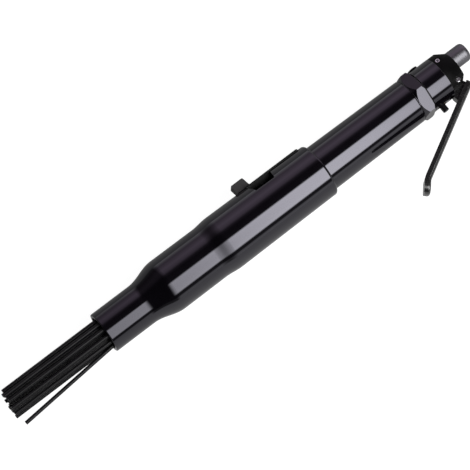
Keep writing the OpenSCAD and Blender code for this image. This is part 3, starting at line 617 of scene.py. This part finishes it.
@dataclass
class Throttle:
    """Throttle housing with the stem, the plug and the ring in front of it."""

    housing: Profile = ((29.5, 0.0), (29.5, 17.6), (47.5, 17.6), (47.5, 14.95), (59.2, 14.95), (59.2, 0.0))
    ring: Profile = ((47.52, 15.0), (47.52, 16.6), (48.68, 16.6), (48.68, 15.0))
    plug: Profile = ((-18.6, 0.0), (-18.6, 4.2), (-17.0, 4.2), (-17.0, 3.58), (-15.95, 3.58), (-15.95, 2.56),
                     (-14.85, 2.56), (-14.85, 3.58), (-13.4, 3.58), (-13.4, 0.0))
    stem: Profile = ((22.76, 0.0), (22.76, 2.5), (8.5, 2.5), (8.5, 2.8), (7.7, 2.8), (7.7, 1.56), (0.29, 1.56),
                     (0.29, 0.0))
    edge: float = 0.4
    valve_station: float = 41.7
    slot: Box = ((26.5, 10.3, -4.4), (34.38, CUT_PAST, 4.4))
    bush_hole: float = 4.02
    bush_floor: float = 8.6
    plug_hole: float = 4.5
    plug_floor: float = 17.0
    plug_edge: float = 0.25
    stem_dome: float = 0.6
    socket_radius: float = 2.1
    socket_depth: float = 1.2

    def build(self) -> None:
        """Builds the housing, its stem, its plug and the dark ring."""
        s, body = self.valve_station, Shape().turn(self.housing, steps=192)
        body.carve(Shape().block(*self.slot))
        body.carve(Shape().rod(self.bush_hole, (s, self.bush_floor, 0), (s, CUT_SIDE, 0), steps=48))
        body.carve(Shape().rod(self.plug_hole, (s, -self.plug_floor, 0), (s, -CUT_SIDE, 0), steps=48))
        body.soften(self.edge, segments=3)
        deliver(body, "body", "gloss_black", "throttle_housing")
        ring = Shape().turn(self.ring, steps=128, hollow=True)
        ring.round_rings([(*corner, EDGE) for corner in self.ring[1:3]], segments=3)
        deliver(ring, "body", "rubber", "gap_ring")
        self.build_plug()
        self.build_stem()

    def across(self) -> Matrix:
        """Placing of a shape turned on X onto the valve's axis, with X leading to the lever."""
        return Matrix.Translation((self.valve_station, 0, 0)) @ Matrix.Rotation(math.pi / 2, 4, "Z")

    def build_plug(self) -> None:
        """Builds the plug with its hexagon socket, opposite the lever."""
        top, depth, plug = self.plug[0][0], self.socket_depth, Shape().turn(self.plug, steps=64)
        plug.carve(Shape().rod(self.socket_radius, (top - depth, 0, 0), (top + depth, 0, 0), steps=6))
        plug.soften(self.plug_edge).place(self.across())
        deliver(plug, "body", "dark_steel", "valve_plug")

    def build_stem(self) -> None:
        """Builds the throttle stem, with its domed outer end."""
        stem = Shape().turn(self.stem, steps=48)
        stem.round_rings([(*self.stem[1], self.stem_dome)], segments=4).place(self.across())
        deliver(stem, "throttle_valve", "steel", "valve_stem", finish=DARK_STEEL)


@dataclass
class Barrel:
    """Barrel with its hexagon, its grip and the nose inside the needle sleeve."""

    start: float = 48.7
    hex_end: float = 59.0
    hex_flats: float = 35.6
    bevel: float = 3.4
    bevel_step: float = 0.15
    rear_bevel: float = 1.4
    neck: float = 1.0
    socket: float = 15.0
    grip: Profile = ((54.6, 17.4), (58.25, 17.4), (59.0, 18.15), (145.5, 18.85), (152.5, 18.85), (153.1, 16.0),
                     (228.8, 16.0), (230.8, 18.85), (240.8, 18.85))
    bores: Profile = ((240.8, 14.0), (237.7, 14.0), (237.7, 15.2), (236.2, 15.2), (236.2, 14.0), (208.2, 14.0),
                      (208.2, 12.0), (81.0, 12.0), (81.0, 14.0), (59.5, 14.0), (59.5, 15.0), (54.6, 15.0))
    tooth_slot: Box = ((183.2, -CUT_PAST, -4.4), (193.8, -14.6, 4.4))
    tail_flat: Box = ((145.9, -CUT_PAST, -10.0), (156.0, -14.98, 10.0))
    vent: float = 2.0
    vent_station: float = 158.5

    def build(self) -> None:
        """Builds the barrel as one piece."""
        body = Shape().turn([*self.grip, *self.bores], steps=192, hollow=True)
        body.round_rings([(*self.grip[2], EDGE)], segments=3)
        body.carve(Shape().block(*self.tooth_slot))
        body.carve(Shape().block(*self.tail_flat))
        s = self.vent_station
        body.carve(Shape().rod(self.vent, (s, 0, -CUT_PAST), (s, 0, CUT_PAST), steps=32))
        body.join(self.hexagon())
        deliver(body, "body", "gloss_black", "barrel")

    def hexagon(self) -> Shape:
        """The hexagon, with its corners turned off.

        Returns:
            The hexagon's shape.
        """
        corner = self.hex_flats / 2 / math.cos(math.pi / 6)
        front = self.hex_end - self.neck
        collar = Shape().turn([
            (self.start, self.socket), (self.start, corner - self.rear_bevel),
            (self.start + self.rear_bevel, corner), (front - self.bevel, corner),
            (front, self.hex_flats / 2 - self.bevel_step), (front, self.socket)], steps=192, hollow=True)
        prism = Shape().rod(corner, (self.start - self.bevel, 0, 0), (self.hex_end + self.bevel, 0, 0), steps=6)
        self.corners_up(prism)
        collar.carve(prism, Cut.COMMON)
        return collar.soften(EDGE, segments=3, angle=20.0)

    def corners_up(self, prism: Shape) -> None:
        """Turns a six-sided prism on X until one of its corners is straight up."""
        first = max(prism.mesh.verts, key=lambda v: v.co.z)
        prism.place(Matrix.Rotation(math.atan2(first.co.y, first.co.z), 4, "X"))


@dataclass
class Sleeve:
    """Needle sleeve with its slot, finger pocket, shoulder and nozzle."""

    rear: Point = (145.5, 21.8)
    rear_round: float = 2.2
    crown: Point = (233.0, 22.52)
    middle: Point = (237.0, 22.55)
    waist: Point = (251.2, 21.4)
    shoulder: Point = (289.7, 21.55)
    nozzle: Point = (314.2, 16.5)
    nozzle_round: float = 0.8
    mouth: Point = (349.0, 16.5)
    mouth_round: float = 0.4
    bores: Profile = ((349.0, 13.8), (303.91, 13.8), (303.91, 16.6), (280.2, 16.6), (280.2, 19.05),
                      (255.92, 19.05), (255.92, 19.75), (254.68, 19.75), (254.68, 19.05), (145.5, 19.05))
    edge: float = 0.25
    slot: Point = (150.5, 200.5)
    slot_half: float = 10.0
    slot_floor: float = 8.0
    pocket_start: float = 178.0
    pocket_half: float = 18.25
    pocket_slants: Point = (2.0, 3.5)
    pocket_reach: float = 31.0

    def build(self) -> None:
        """Builds the sleeve as one piece."""
        body = Shape().turn([
            self.rear, self.crown, *ease(self.middle, self.waist, count=14),
            *ease(self.shoulder, self.nozzle, count=28), self.mouth, *self.bores], steps=192, hollow=True)
        body.round_rings([(*self.rear, self.rear_round)], segments=8)
        body.round_rings([(*self.mouth, self.nozzle_round), (*self.bores[0], self.mouth_round)], segments=3)
        near, far = self.slot
        opening = Shape().block((near, -CUT_PAST, -self.slot_half), (far, -self.slot_floor, self.slot_half))
        opening.carve(self.pocket(), Cut.ADD)
        body.carve(opening)
        body.soften(self.edge, angle=50.0)
        deliver(body, "needle_sleeve", "gloss_black", "sleeve")

    def pocket(self) -> Shape:
        """The finger pocket's cutter, wide across the slot's front end and slanted at its ends.

        Returns:
            The cutter's shape.
        """
        near, far = self.pocket_start, self.slot[1]
        half = [(near, self.slot_half), (near + self.pocket_slants[0], self.pocket_half),
                (far - self.pocket_slants[1], self.pocket_half), (far, self.slot_half)]
        outline = half + [(s, -z) for s, z in reversed(half)]
        return Shape().slab(outline, 0, self.pocket_reach).place(Matrix.Rotation(math.pi / 2, 4, "X"))


@dataclass
class Catch:
    """Sleeve catch: a curved arm in the slot, with its tooth, knuckles and thumb tab."""

    start: float = 151.3
    end: float = 200.1
    inner: float = 18.4
    outer: float = 23.1
    half_width: float = 9.6
    arm_edge: float = 0.35
    tooth: Box = ((188.5, -18.6, -4.0), (193.5, -15.1, 4.0))
    knuckle: Tuple[Point, Point] = ((153.4, -18.9), (158.6, -16.4))
    knuckle_gap: float = 2.5
    pin_radius: float = 1.0
    pin_edge: float = 0.2
    pin_end: Triple = (156.0, -18.0, 10.6)
    tab_start: float = 195.5
    tab_length: float = 11.0
    tab_half: float = 5.0
    tab_under: float = 22.7
    tab_top: float = 29.7
    tab_heel: Point = (2.0, 1.0)
    top_round: float = 1.0
    lean: float = 8.0

    def build(self) -> None:
        """Builds the catch and its pin."""
        arm = self.arm()
        arm.join(Shape().block(*self.tooth).soften(EDGE))
        rear, front = self.knuckle
        for side in (-1, 1):
            low, high = sorted((side * self.knuckle_gap, side * self.half_width))
            arm.join(Shape().block((*rear, low), (*front, high)).soften(EDGE))
        tab_from = len(arm.mesh.faces)
        arm.join(self.tab())
        arm.mesh.faces.ensure_lookup_table()
        for face in arm.mesh.faces[:tab_from]:
            face.material_index = 1
        piece = deliver(arm, "sleeve_catch", "catch_grey", "catch")
        piece.data.materials.append(CATCH_BLACK.material())
        x, y, z = self.pin_end
        pin = Shape().rod(self.pin_radius, (x, y, -z), (x, y, z), steps=32).soften(self.pin_edge)
        deliver(pin, "needle_sleeve", "steel", "catch_pin")

    def arm(self) -> Shape:
        """The curved arm, swept round the tool's axis from one edge to the other.

        Returns:
            The arm's shape.
        """
        swept = Shape()
        half = math.asin(self.half_width / self.outer)
        section = ((self.start, self.inner), (self.end, self.inner), (self.end, self.outer),
                   (self.start, self.outer))
        edge = swept.face((s, -r * math.cos(half), -r * math.sin(half)) for s, r in section)
        swept.swing(edge, CENTRE, X_AXIS, -2 * half, steps=24)
        return swept.close().soften(self.arm_edge, segments=3)

    def tab(self) -> Shape:
        """The thumb tab, which leans forward, is rounded at its top and follows the sleeve underneath.

        Returns:
            The tab's shape.
        """
        foot = math.sqrt(self.tab_under ** 2 - self.tab_half ** 2)
        shift = math.tan(math.radians(self.lean)) * (self.tab_top - foot)
        near, far = self.tab_start, self.tab_start + self.tab_length
        back, sunk = self.tab_heel
        tab = Shape().slab([
            (near - back, sunk - foot), (self.end, sunk - foot), (self.end, -foot), (far, -foot),
            (far + shift, -self.tab_top), (near + shift, -self.tab_top), (near, -self.outer)],
            -self.tab_half, self.tab_half)
        top = [e for e in tab.mesh.edges if all(abs(v.co.y + self.tab_top) < NEAR for v in e.verts)
               and abs(e.verts[0].co.x - e.verts[1].co.x) < NEAR]
        tab.bevel(top, self.top_round, segments=6)
        tab.carve(Shape().rod(self.tab_under, (self.end, 0, 0), (far + self.tab_length, 0, 0), steps=160))
        return tab.soften(EDGE, segments=3)


@dataclass
class Lever:
    """Throttle lever: a bent strip with a channel under it and a tongue on the pin."""

    angle: float = 28.4
    heel: float = 4.6
    heel_round: float = 3.0
    rise: float = 5.9
    thickness: float = 5.0
    web: float = 2.0
    channel_start: float = 30.0
    channel_half: float = 5.5
    edge: float = 0.45
    outer_round: float = 2.0
    rim_turn: float = 40.0
    rim_face: float = 0.3
    half_width: float = 7.5
    run: float = 76.0
    bend: float = 20.0
    bend_radius: float = 10.0
    tip: float = 9.5
    corner: float = 6.0
    tongue_half: float = 4.0
    tongue_front: Point = (10.7, 2.0)
    tongue_top: Point = (12.1, 0.3)
    tongue_back: float = 0.5
    boss: float = 4.2
    boss_sweep: Point = (180.0, 120.0)
    pin_hole: float = 2.05

    def build(self) -> None:
        """Builds the lever as one piece."""
        lever, half = self.strip(), self.channel_half
        lever.carve(Shape().block((self.channel_start, 0, -half),
                                  (self.run, self.rise + self.thickness - self.web, half)))
        lever.soften(self.edge, segments=3, angle=32.0)
        lever.join(self.tongue())
        lever.place(Matrix.Translation((*LEVER_PIN, 0)) @ Matrix.Rotation(math.radians(self.angle), 4, "Z"))
        deliver(lever, "throttle_lever", "lever_black", "lever")

    def strip(self) -> Shape:
        """The strip, swept from its heel through the bend to its rounded tip.

        Returns:
            The strip's shape, in the lever's own axes.
        """
        strip, outside, lean = Shape(), self.rise + self.thickness, math.radians(self.bend)
        section = ((self.rise, -self.half_width), (self.rise, self.half_width), (outside, self.half_width),
                   (outside, -self.half_width))
        end = strip.lengthen(strip.face((-self.heel, y, z) for y, z in section), (self.run + self.heel, 0, 0))
        end = strip.swing(end, (self.run, outside + self.bend_radius, 0), Z_AXIS, lean, steps=8)
        strip.lengthen(end, (self.tip * math.cos(lean), self.tip * math.sin(lean), 0))
        strip.close()
        # The two short edges at the corners of the tip, then the heel's outer edge, then the outer rim.
        corners = [e for e in strip.mesh.edges if e.calc_length() < self.thickness + NEAR
                   and all(v.co.x > self.run + self.tip for v in e.verts)
                   and abs(e.verts[0].co.z - e.verts[1].co.z) < NEAR]
        strip.bevel(corners, self.corner, segments=10)
        heel = [e for e in strip.mesh.edges
                if all(abs(v.co.x + self.heel) < NEAR and abs(v.co.y - outside) < NEAR for v in e.verts)]
        strip.bevel(heel, self.heel_round, segments=8)
        strip.close()
        rim = [e for e in strip.mesh.edges
               if e.is_manifold and e.calc_face_angle() > math.radians(self.rim_turn)
               and max(f.normal.y for f in e.link_faces) > self.rim_face]
        strip.bevel(rim, self.outer_round, segments=5)
        return strip

    def tongue(self) -> Shape:
        """The tongue, round its pin and under the strip's heel.

        Returns:
            The tongue's shape, in the lever's own axes.
        """
        first, turn = self.boss_sweep
        sweep = [math.radians(first + turn * t) for t in shares(count=12)]
        top = self.rise + self.tongue_top[1]
        tongue = Shape().slab(
            [(self.boss * math.cos(a), self.boss * math.sin(a)) for a in sweep]
            + [self.tongue_front, (self.tongue_top[0], top), (-self.heel + self.tongue_back, top)],
            -self.tongue_half, self.tongue_half)
        tongue.carve(Shape().rod(self.pin_hole, (0, 0, -CUT_THROUGH), (0, 0, CUT_THROUGH), steps=40))
        return tongue.soften(EDGE)


@dataclass
class Needles:
    """Bundle of needles, each on its own, with the bent one nearest to the lever."""

    heads: float = 256.5
    neck: float = 260.0
    shaft: float = 256.7
    length: float = 180.0
    radius: float = 1.5
    head_radius: float = 2.1
    head_edge: float = 0.4
    tip_edge: float = 0.25
    bent_edge: float = 0.2
    most_wear: float = 3.0
    wear_turn: float = 137.5
    sides: int = 28
    rings: Tuple[int, ...] = (1, 6, 12)
    ring_radii: Tuple[float, ...] = (0.0, 5.3, 10.7)
    bent: int = 17
    bent_reach: float = 18.4
    bend_station: float = 337.5
    bend_radius: float = 60.0

    def build(self) -> None:
        """Builds every needle as a piece of its own."""
        places: List[Point] = []
        for count, radius in zip(self.rings, self.ring_radii):
            turns = [FULL_TURN * k / count for k in range(count)]
            places += [(-radius * math.sin(turn), radius * math.cos(turn)) for turn in turns]
        for number, (y, z) in enumerate(places, 1):
            worn = (1 + math.sin(math.radians(self.wear_turn * number ** 2))) / 2
            tip = self.heads + self.length - self.most_wear * worn
            needle = self.bent_needle(tip, y) if number == self.bent else self.straight_needle(tip)
            needle.place(Matrix.Translation((0, y, z)))
            name = f"needle_{number:02d}"
            deliver(needle, f"{name}_body", "dark_steel", name)

    def straight_needle(self, tip: float) -> Shape:
        """A straight needle on X, up to the station of its tip."""
        needle = Shape().turn([(self.heads, 0), (self.heads, self.head_radius), (self.neck, self.head_radius),
                               (self.neck, self.radius), (tip, self.radius), (tip, 0)], self.sides)
        return needle.round_rings([(self.heads, self.head_radius, self.head_edge),
                                   (tip, self.radius, self.tip_edge)], segments=2)

    def bent_needle(self, tip: float, reach: float) -> Shape:
        """The needle that turns outwards near the nozzle's mouth.

        Args:
            tip: Station of its tip.
            reach: Distance of its straight part from the tool's axis.

        Returns:
            The needle, with its straight part on X.
        """
        bend = math.atan((self.bent_reach - reach) / (tip - self.bend_station))
        start = self.bend_station - self.bend_radius * math.tan(bend / 2)
        needle = Shape()
        foot = Matrix.Translation((self.shaft, 0, 0)) @ Matrix.Rotation(math.pi / 2, 4, "Y")
        bmesh.ops.create_circle(needle.mesh, cap_ends=True, radius=self.radius, segments=self.sides,
                                matrix=foot)
        end = needle.lengthen(needle.mesh.faces[:][0], (start - self.shaft, 0, 0))
        end = needle.swing(end, (start, self.bend_radius, 0), Z_AXIS, bend, steps=6)
        run = tip - self.bend_station - self.bend_radius * math.tan(bend / 2)
        needle.lengthen(end, (run, run * math.tan(bend), 0))
        needle.close().soften(self.bent_edge, angle=60.0)
        head = Shape().turn([(self.heads, 0), (self.heads, self.head_radius), (self.neck, self.head_radius),
                             (self.neck, 0)], self.sides)
        return needle.join(head.round_rings([(self.heads, self.head_radius, self.head_edge)], segments=2))


@dataclass
class Springs:
    """Valve spring and needle spring.

    The needle spring is pushed at both of its ends, so it is made in two halves that meet at its middle: each
    rides with the piece at its own end.
    """

    turn_steps: int = 32
    valve_span: Point = (-13.35, -5.78)
    valve_coil: float = 2.1
    valve_wire: float = 0.7
    valve_turns: int = 4
    valve_travel: float = 4.0
    needle_span: Point = (267.22, 303.88)
    needle_coil: float = 15.2
    needle_wire: float = 2.2
    needle_turns: int = 6
    holder_travel: float = 6.0
    sleeve_travel: float = 5.0

    def build(self) -> None:
        """Builds the valve spring and both halves of the needle spring."""
        throttle = Throttle()
        low, high = self.valve_span
        end = self.valve_wire / 2
        valve = self.coil((low + end, high - end), self.valve_coil, self.valve_wire, self.valve_turns)
        valve.place(throttle.across())
        piece = deliver(valve, "body", "steel", "valve_spring")
        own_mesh(piece)
        low, high = self.needle_span
        end, middle = self.needle_wire / 2, (low + high) / 2
        for half, body, joint, span, seated, travel in (
                ("rear", "holder_body", "sleeve_slide", (low + end, middle), low, self.sleeve_travel),
                ("front", "needle_sleeve", "holder_slide", (middle, high - end), high, self.holder_travel)):
            coil = self.coil(span, self.needle_coil, self.needle_wire, self.needle_turns // 2)
            piece = deliver(coil, body, "steel", "needle_spring", part=f"_{half}")
            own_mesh(piece)

    def coil(self, span: Point, radius: float, wire: float, turns: int) -> Shape:
        """A coil of round wire on X.

        Args:
            span: Stations of the middle of the wire at its two ends.
            radius: Distance of the wire's middle from X.
            wire: Diameter of the wire.
            turns: Turns from end to end.

        Returns:
            The coil's shape.
        """
        shape, steps = Shape(), self.turn_steps * turns
        bmesh.ops.create_circle(shape.mesh, cap_ends=True, radius=wire / 2, segments=12,
                                matrix=Matrix.Translation((span[0], radius, 0)))
        shape.swing(shape.mesh.faces[:][0], CENTRE, X_AXIS, FULL_TURN * turns, steps,
                    (span[1] - span[0]) / steps)
        return shape.close()


@dataclass
class Studio:
    """White floor, soft light and the camera."""

    floor_size: float = 6.0
    floor_middle: float = -0.2
    floor_height: float = -22.6
    camera_to_needles: float = 10.5
    camera_to_lever: float = 11.5
    camera_roll: float = 37.1
    camera_distance: float = 1900.0
    lens: float = 196.67
    sensor: float = 36.0
    clip: Point = (0.05, 50.0)
    sight: Triple = (-227.0, -INLET_OFFSET, 0.0)
    nudge: Point = (0.4, -0.53)
    light_lean: float = 37.8
    light_distance: float = 1.12
    light_station: float = 0.09
    light_size: Point = (1.14, 1.22)
    light_level: float = 7.4
    light_peak: float = 0.14
    light_core: float = 0.15
    light_rim: float = 0.4
    light_soft: Point = (0.24, 0.14)
    floor_tone: float = 0.2
    floor_glow: float = 0.93
    # Glow of the floor in a mirror, on the lever's side and on the far side, where it is lower as painted
    # shade.
    mirrored_glow_with_painted_shade: Point = (0.48, 0.13)
    floor_painted_shade_span: Point = (-0.08, 0.04)
    fill: float = 0.42
    room_levels: Profile = ((-90, 1.0), (-81, 0.9), (-77, 0.1), (-65, 0.05), (15, 0.03), (24, 0.12), (34, 0.6),
                            (48, 0.85), (61, 0.6), (72, 0.42), (90, 0.3))
    wall_tint: Triple = (1.0, 0.82, 1.0)
    room_ends: Point = (-0.06, 0.2)
    room_dim: float = 0.12

    def build(self) -> None:
        """Builds the stage."""
        self.floor()
        self.sky()
        self.softbox()
        self.camera()
        bpy.context.scene.view_settings.view_transform = "Standard"

    def floor(self) -> None:
        """A wide white floor, which is white where nothing shades it."""
        ground = Shape()
        bmesh.ops.create_grid(ground.mesh, x_segments=1, y_segments=1, size=self.floor_size,
                              matrix=Matrix.Translation((self.floor_middle, 0, self.floor_height * MM)))
        data = ground.data("floor")
        piece = stand("floor", data)
        paper = bpy.data.materials.new("white_paper")
        paper.use_nodes = True
        paper.node_tree.nodes.clear()
        wires = Wiring(paper.node_tree)
        matt = wires.add("BsdfDiffuse", {"Color": (self.floor_tone, self.floor_tone, self.floor_tone, 1)})
        glow = wires.add("Emission", {"Strength": self.seen(wires)})
        both = wires.add("AddShader", {0: matt.outputs[0], 1: glow.outputs[0]})
        wires.add("OutputMaterial", {"Surface": both.outputs[0]})
        data.materials.append(paper)

    def seen(self, wires: Wiring) -> Socket:
        """The floor's glow: full to the camera, and in a mirror or through glass less on its far side, where
        that is painted shade for the tool's shadow.

        Args:
            wires: The floor's nodes.

        Returns:
            The strength.
        """
        path = wires.add("LightPath", {}).outputs
        place = wires.parts(wires.add("NewGeometry", {}).outputs["Position"])
        # Painted shade: in reflections the floor's far side is dimmer, standing in for the tool's shadow there.
        side = wires.remap(place["Y"], self.floor_painted_shade_span, self.mirrored_glow_with_painted_shade)
        mirrored = wires.reckon("MAXIMUM", path["Is Glossy Ray"], path["Is Transmission Ray"])
        return wires.reckon("ADD", wires.reckon("MULTIPLY", path["Is Camera Ray"], self.floor_glow),
                            wires.reckon("MULTIPLY", mirrored, side))

    def sky(self) -> None:
        """A room with a pale wall on either side and a dark ceiling, and a white backdrop to the camera."""
        world = bpy.data.worlds.new("room")
        bpy.context.scene.world = world
        world.use_nodes = True
        wires = Wiring(world.node_tree)
        place = wires.parts(wires.add("TexCoord", {}).outputs["Generated"])
        lean = wires.reckon("ARCTAN2", place["Y"], place["Z"])
        ramp = wires.add("ValToRGB", {"Fac": wires.remap(lean, (-math.pi / 2, math.pi / 2))})
        points = ramp.color_ramp.elements
        for degrees, grey in self.room_levels:
            point = points.new((degrees + 90) / 180)
            point.color = (*(grey * c for c in (self.wall_tint if degrees > 0 else (1, 1, 1))), 1)
        points.remove(points[0])
        points.remove(points[-1])
        length = wires.remap(place["X"], self.room_ends, (self.room_dim, 1.0))
        colour = wires.mix(1.0, ramp.outputs["Color"], length, "MULTIPLY")
        path = wires.add("LightPath", {}).outputs
        for name, tone in (("Is Diffuse Ray", self.fill), ("Is Camera Ray", 1.0)):
            colour = wires.mix(path[name], colour, (tone, tone, tone, 1))
        wires.feed(world.node_tree.nodes["Background"], {"Color": colour})

    def softbox(self) -> None:
        """One softbox that leans towards the lever and faces the tool, brightest along a band of its own."""
        long, wide = self.light_size
        box = bpy.data.lights.new("softbox", "AREA")
        box.shape, box.size, box.size_y = "RECTANGLE", long, wide
        box.energy = self.light_level * math.pi * long * wide
        box.use_nodes = True
        wires = Wiring(box.node_tree)
        # Places on the light run from 0 to 1 along each of its sides.
        across = wires.parts(wires.add("NewGeometry", {}).outputs["Parametric"])
        middle = 0.5 + (self.light_peak - self.light_station) / long
        value = across["X"]
        for operation, number in (
                ("SUBTRACT", middle), ("MULTIPLY", long / (math.sqrt(2) * self.light_core)), ("POWER", 2.0),
                ("MULTIPLY", -1.0), ("EXPONENT", 0.0), ("MULTIPLY", 1 - self.light_rim),
                ("ADD", self.light_rim)):
            value = wires.reckon(operation, value, number)
        for axis, width in zip("XY", self.light_soft):
            rim = wires.reckon("ABSOLUTE", wires.reckon("SUBTRACT", across[axis], 0.5))
            soft = wires.remap(rim, (0.5, 0.5 - width), curve="SMOOTHSTEP")
            value = wires.reckon("MULTIPLY", value, soft)
        wires.feed(box.node_tree.nodes["Emission"], {"Strength": value})
        piece = stand("softbox", box)
        turn = math.radians(self.light_lean)
        aim = Vector((0, math.sin(turn), -math.cos(turn)))
        piece.location = Vector((self.light_station, -INLET_OFFSET * MM, 0)) - self.light_distance * aim
        piece.rotation_mode = "QUATERNION"
        piece.rotation_quaternion = aim.to_track_quat("-Z", "Y")

    def camera(self) -> None:
        """The camera of the photograph's view."""
        tilt, side = math.radians(self.camera_to_needles), math.radians(self.camera_to_lever)
        back = Vector((-math.sin(tilt), -math.sin(side) * math.cos(tilt), math.cos(tilt) * math.cos(side)))
        tool = (Vector(X_AXIS) - back.x * back).normalized()
        left = tool.cross(-back)
        roll = math.radians(self.camera_roll)
        right = math.cos(roll) * tool - math.sin(roll) * left
        up = right.cross(-back)
        data = bpy.data.cameras.new("camera")
        data.lens, data.sensor_width = self.lens, self.sensor
        data.clip_start, data.clip_end = self.clip
        piece = stand("camera", data)
        turn = Matrix((right, up, back)).transposed().to_4x4()
        spot = Vector(self.sight) + self.camera_distance * back + self.nudge[0] * right + self.nudge[1] * up
        piece.matrix_world = Matrix.Translation(spot * MM) @ turn
        bpy.context.scene.camera = piece


def dress_frame() -> None:
    """Gives every node of the frame the finish of its material slot."""
    for part in frame["record"]["subparts"]:
        node = frame["nodes"][part["node"]]
        node.data.materials.clear()
        node.data.materials.append(SLOT_FINISHES[part["material_slot"]].material())


def main() -> None:
    """Builds the tool and its stage."""
    logging.basicConfig(level=logging.INFO, format="%(name)s: %(message)s")
    dress_frame()
    for assembly in (Inlet(), Head(), Throttle(), Barrel(), Sleeve(), Catch(), Lever(), Needles(), Springs(),
                     Studio()):
        assembly.build()


if __name__ == "__main__":
    main()
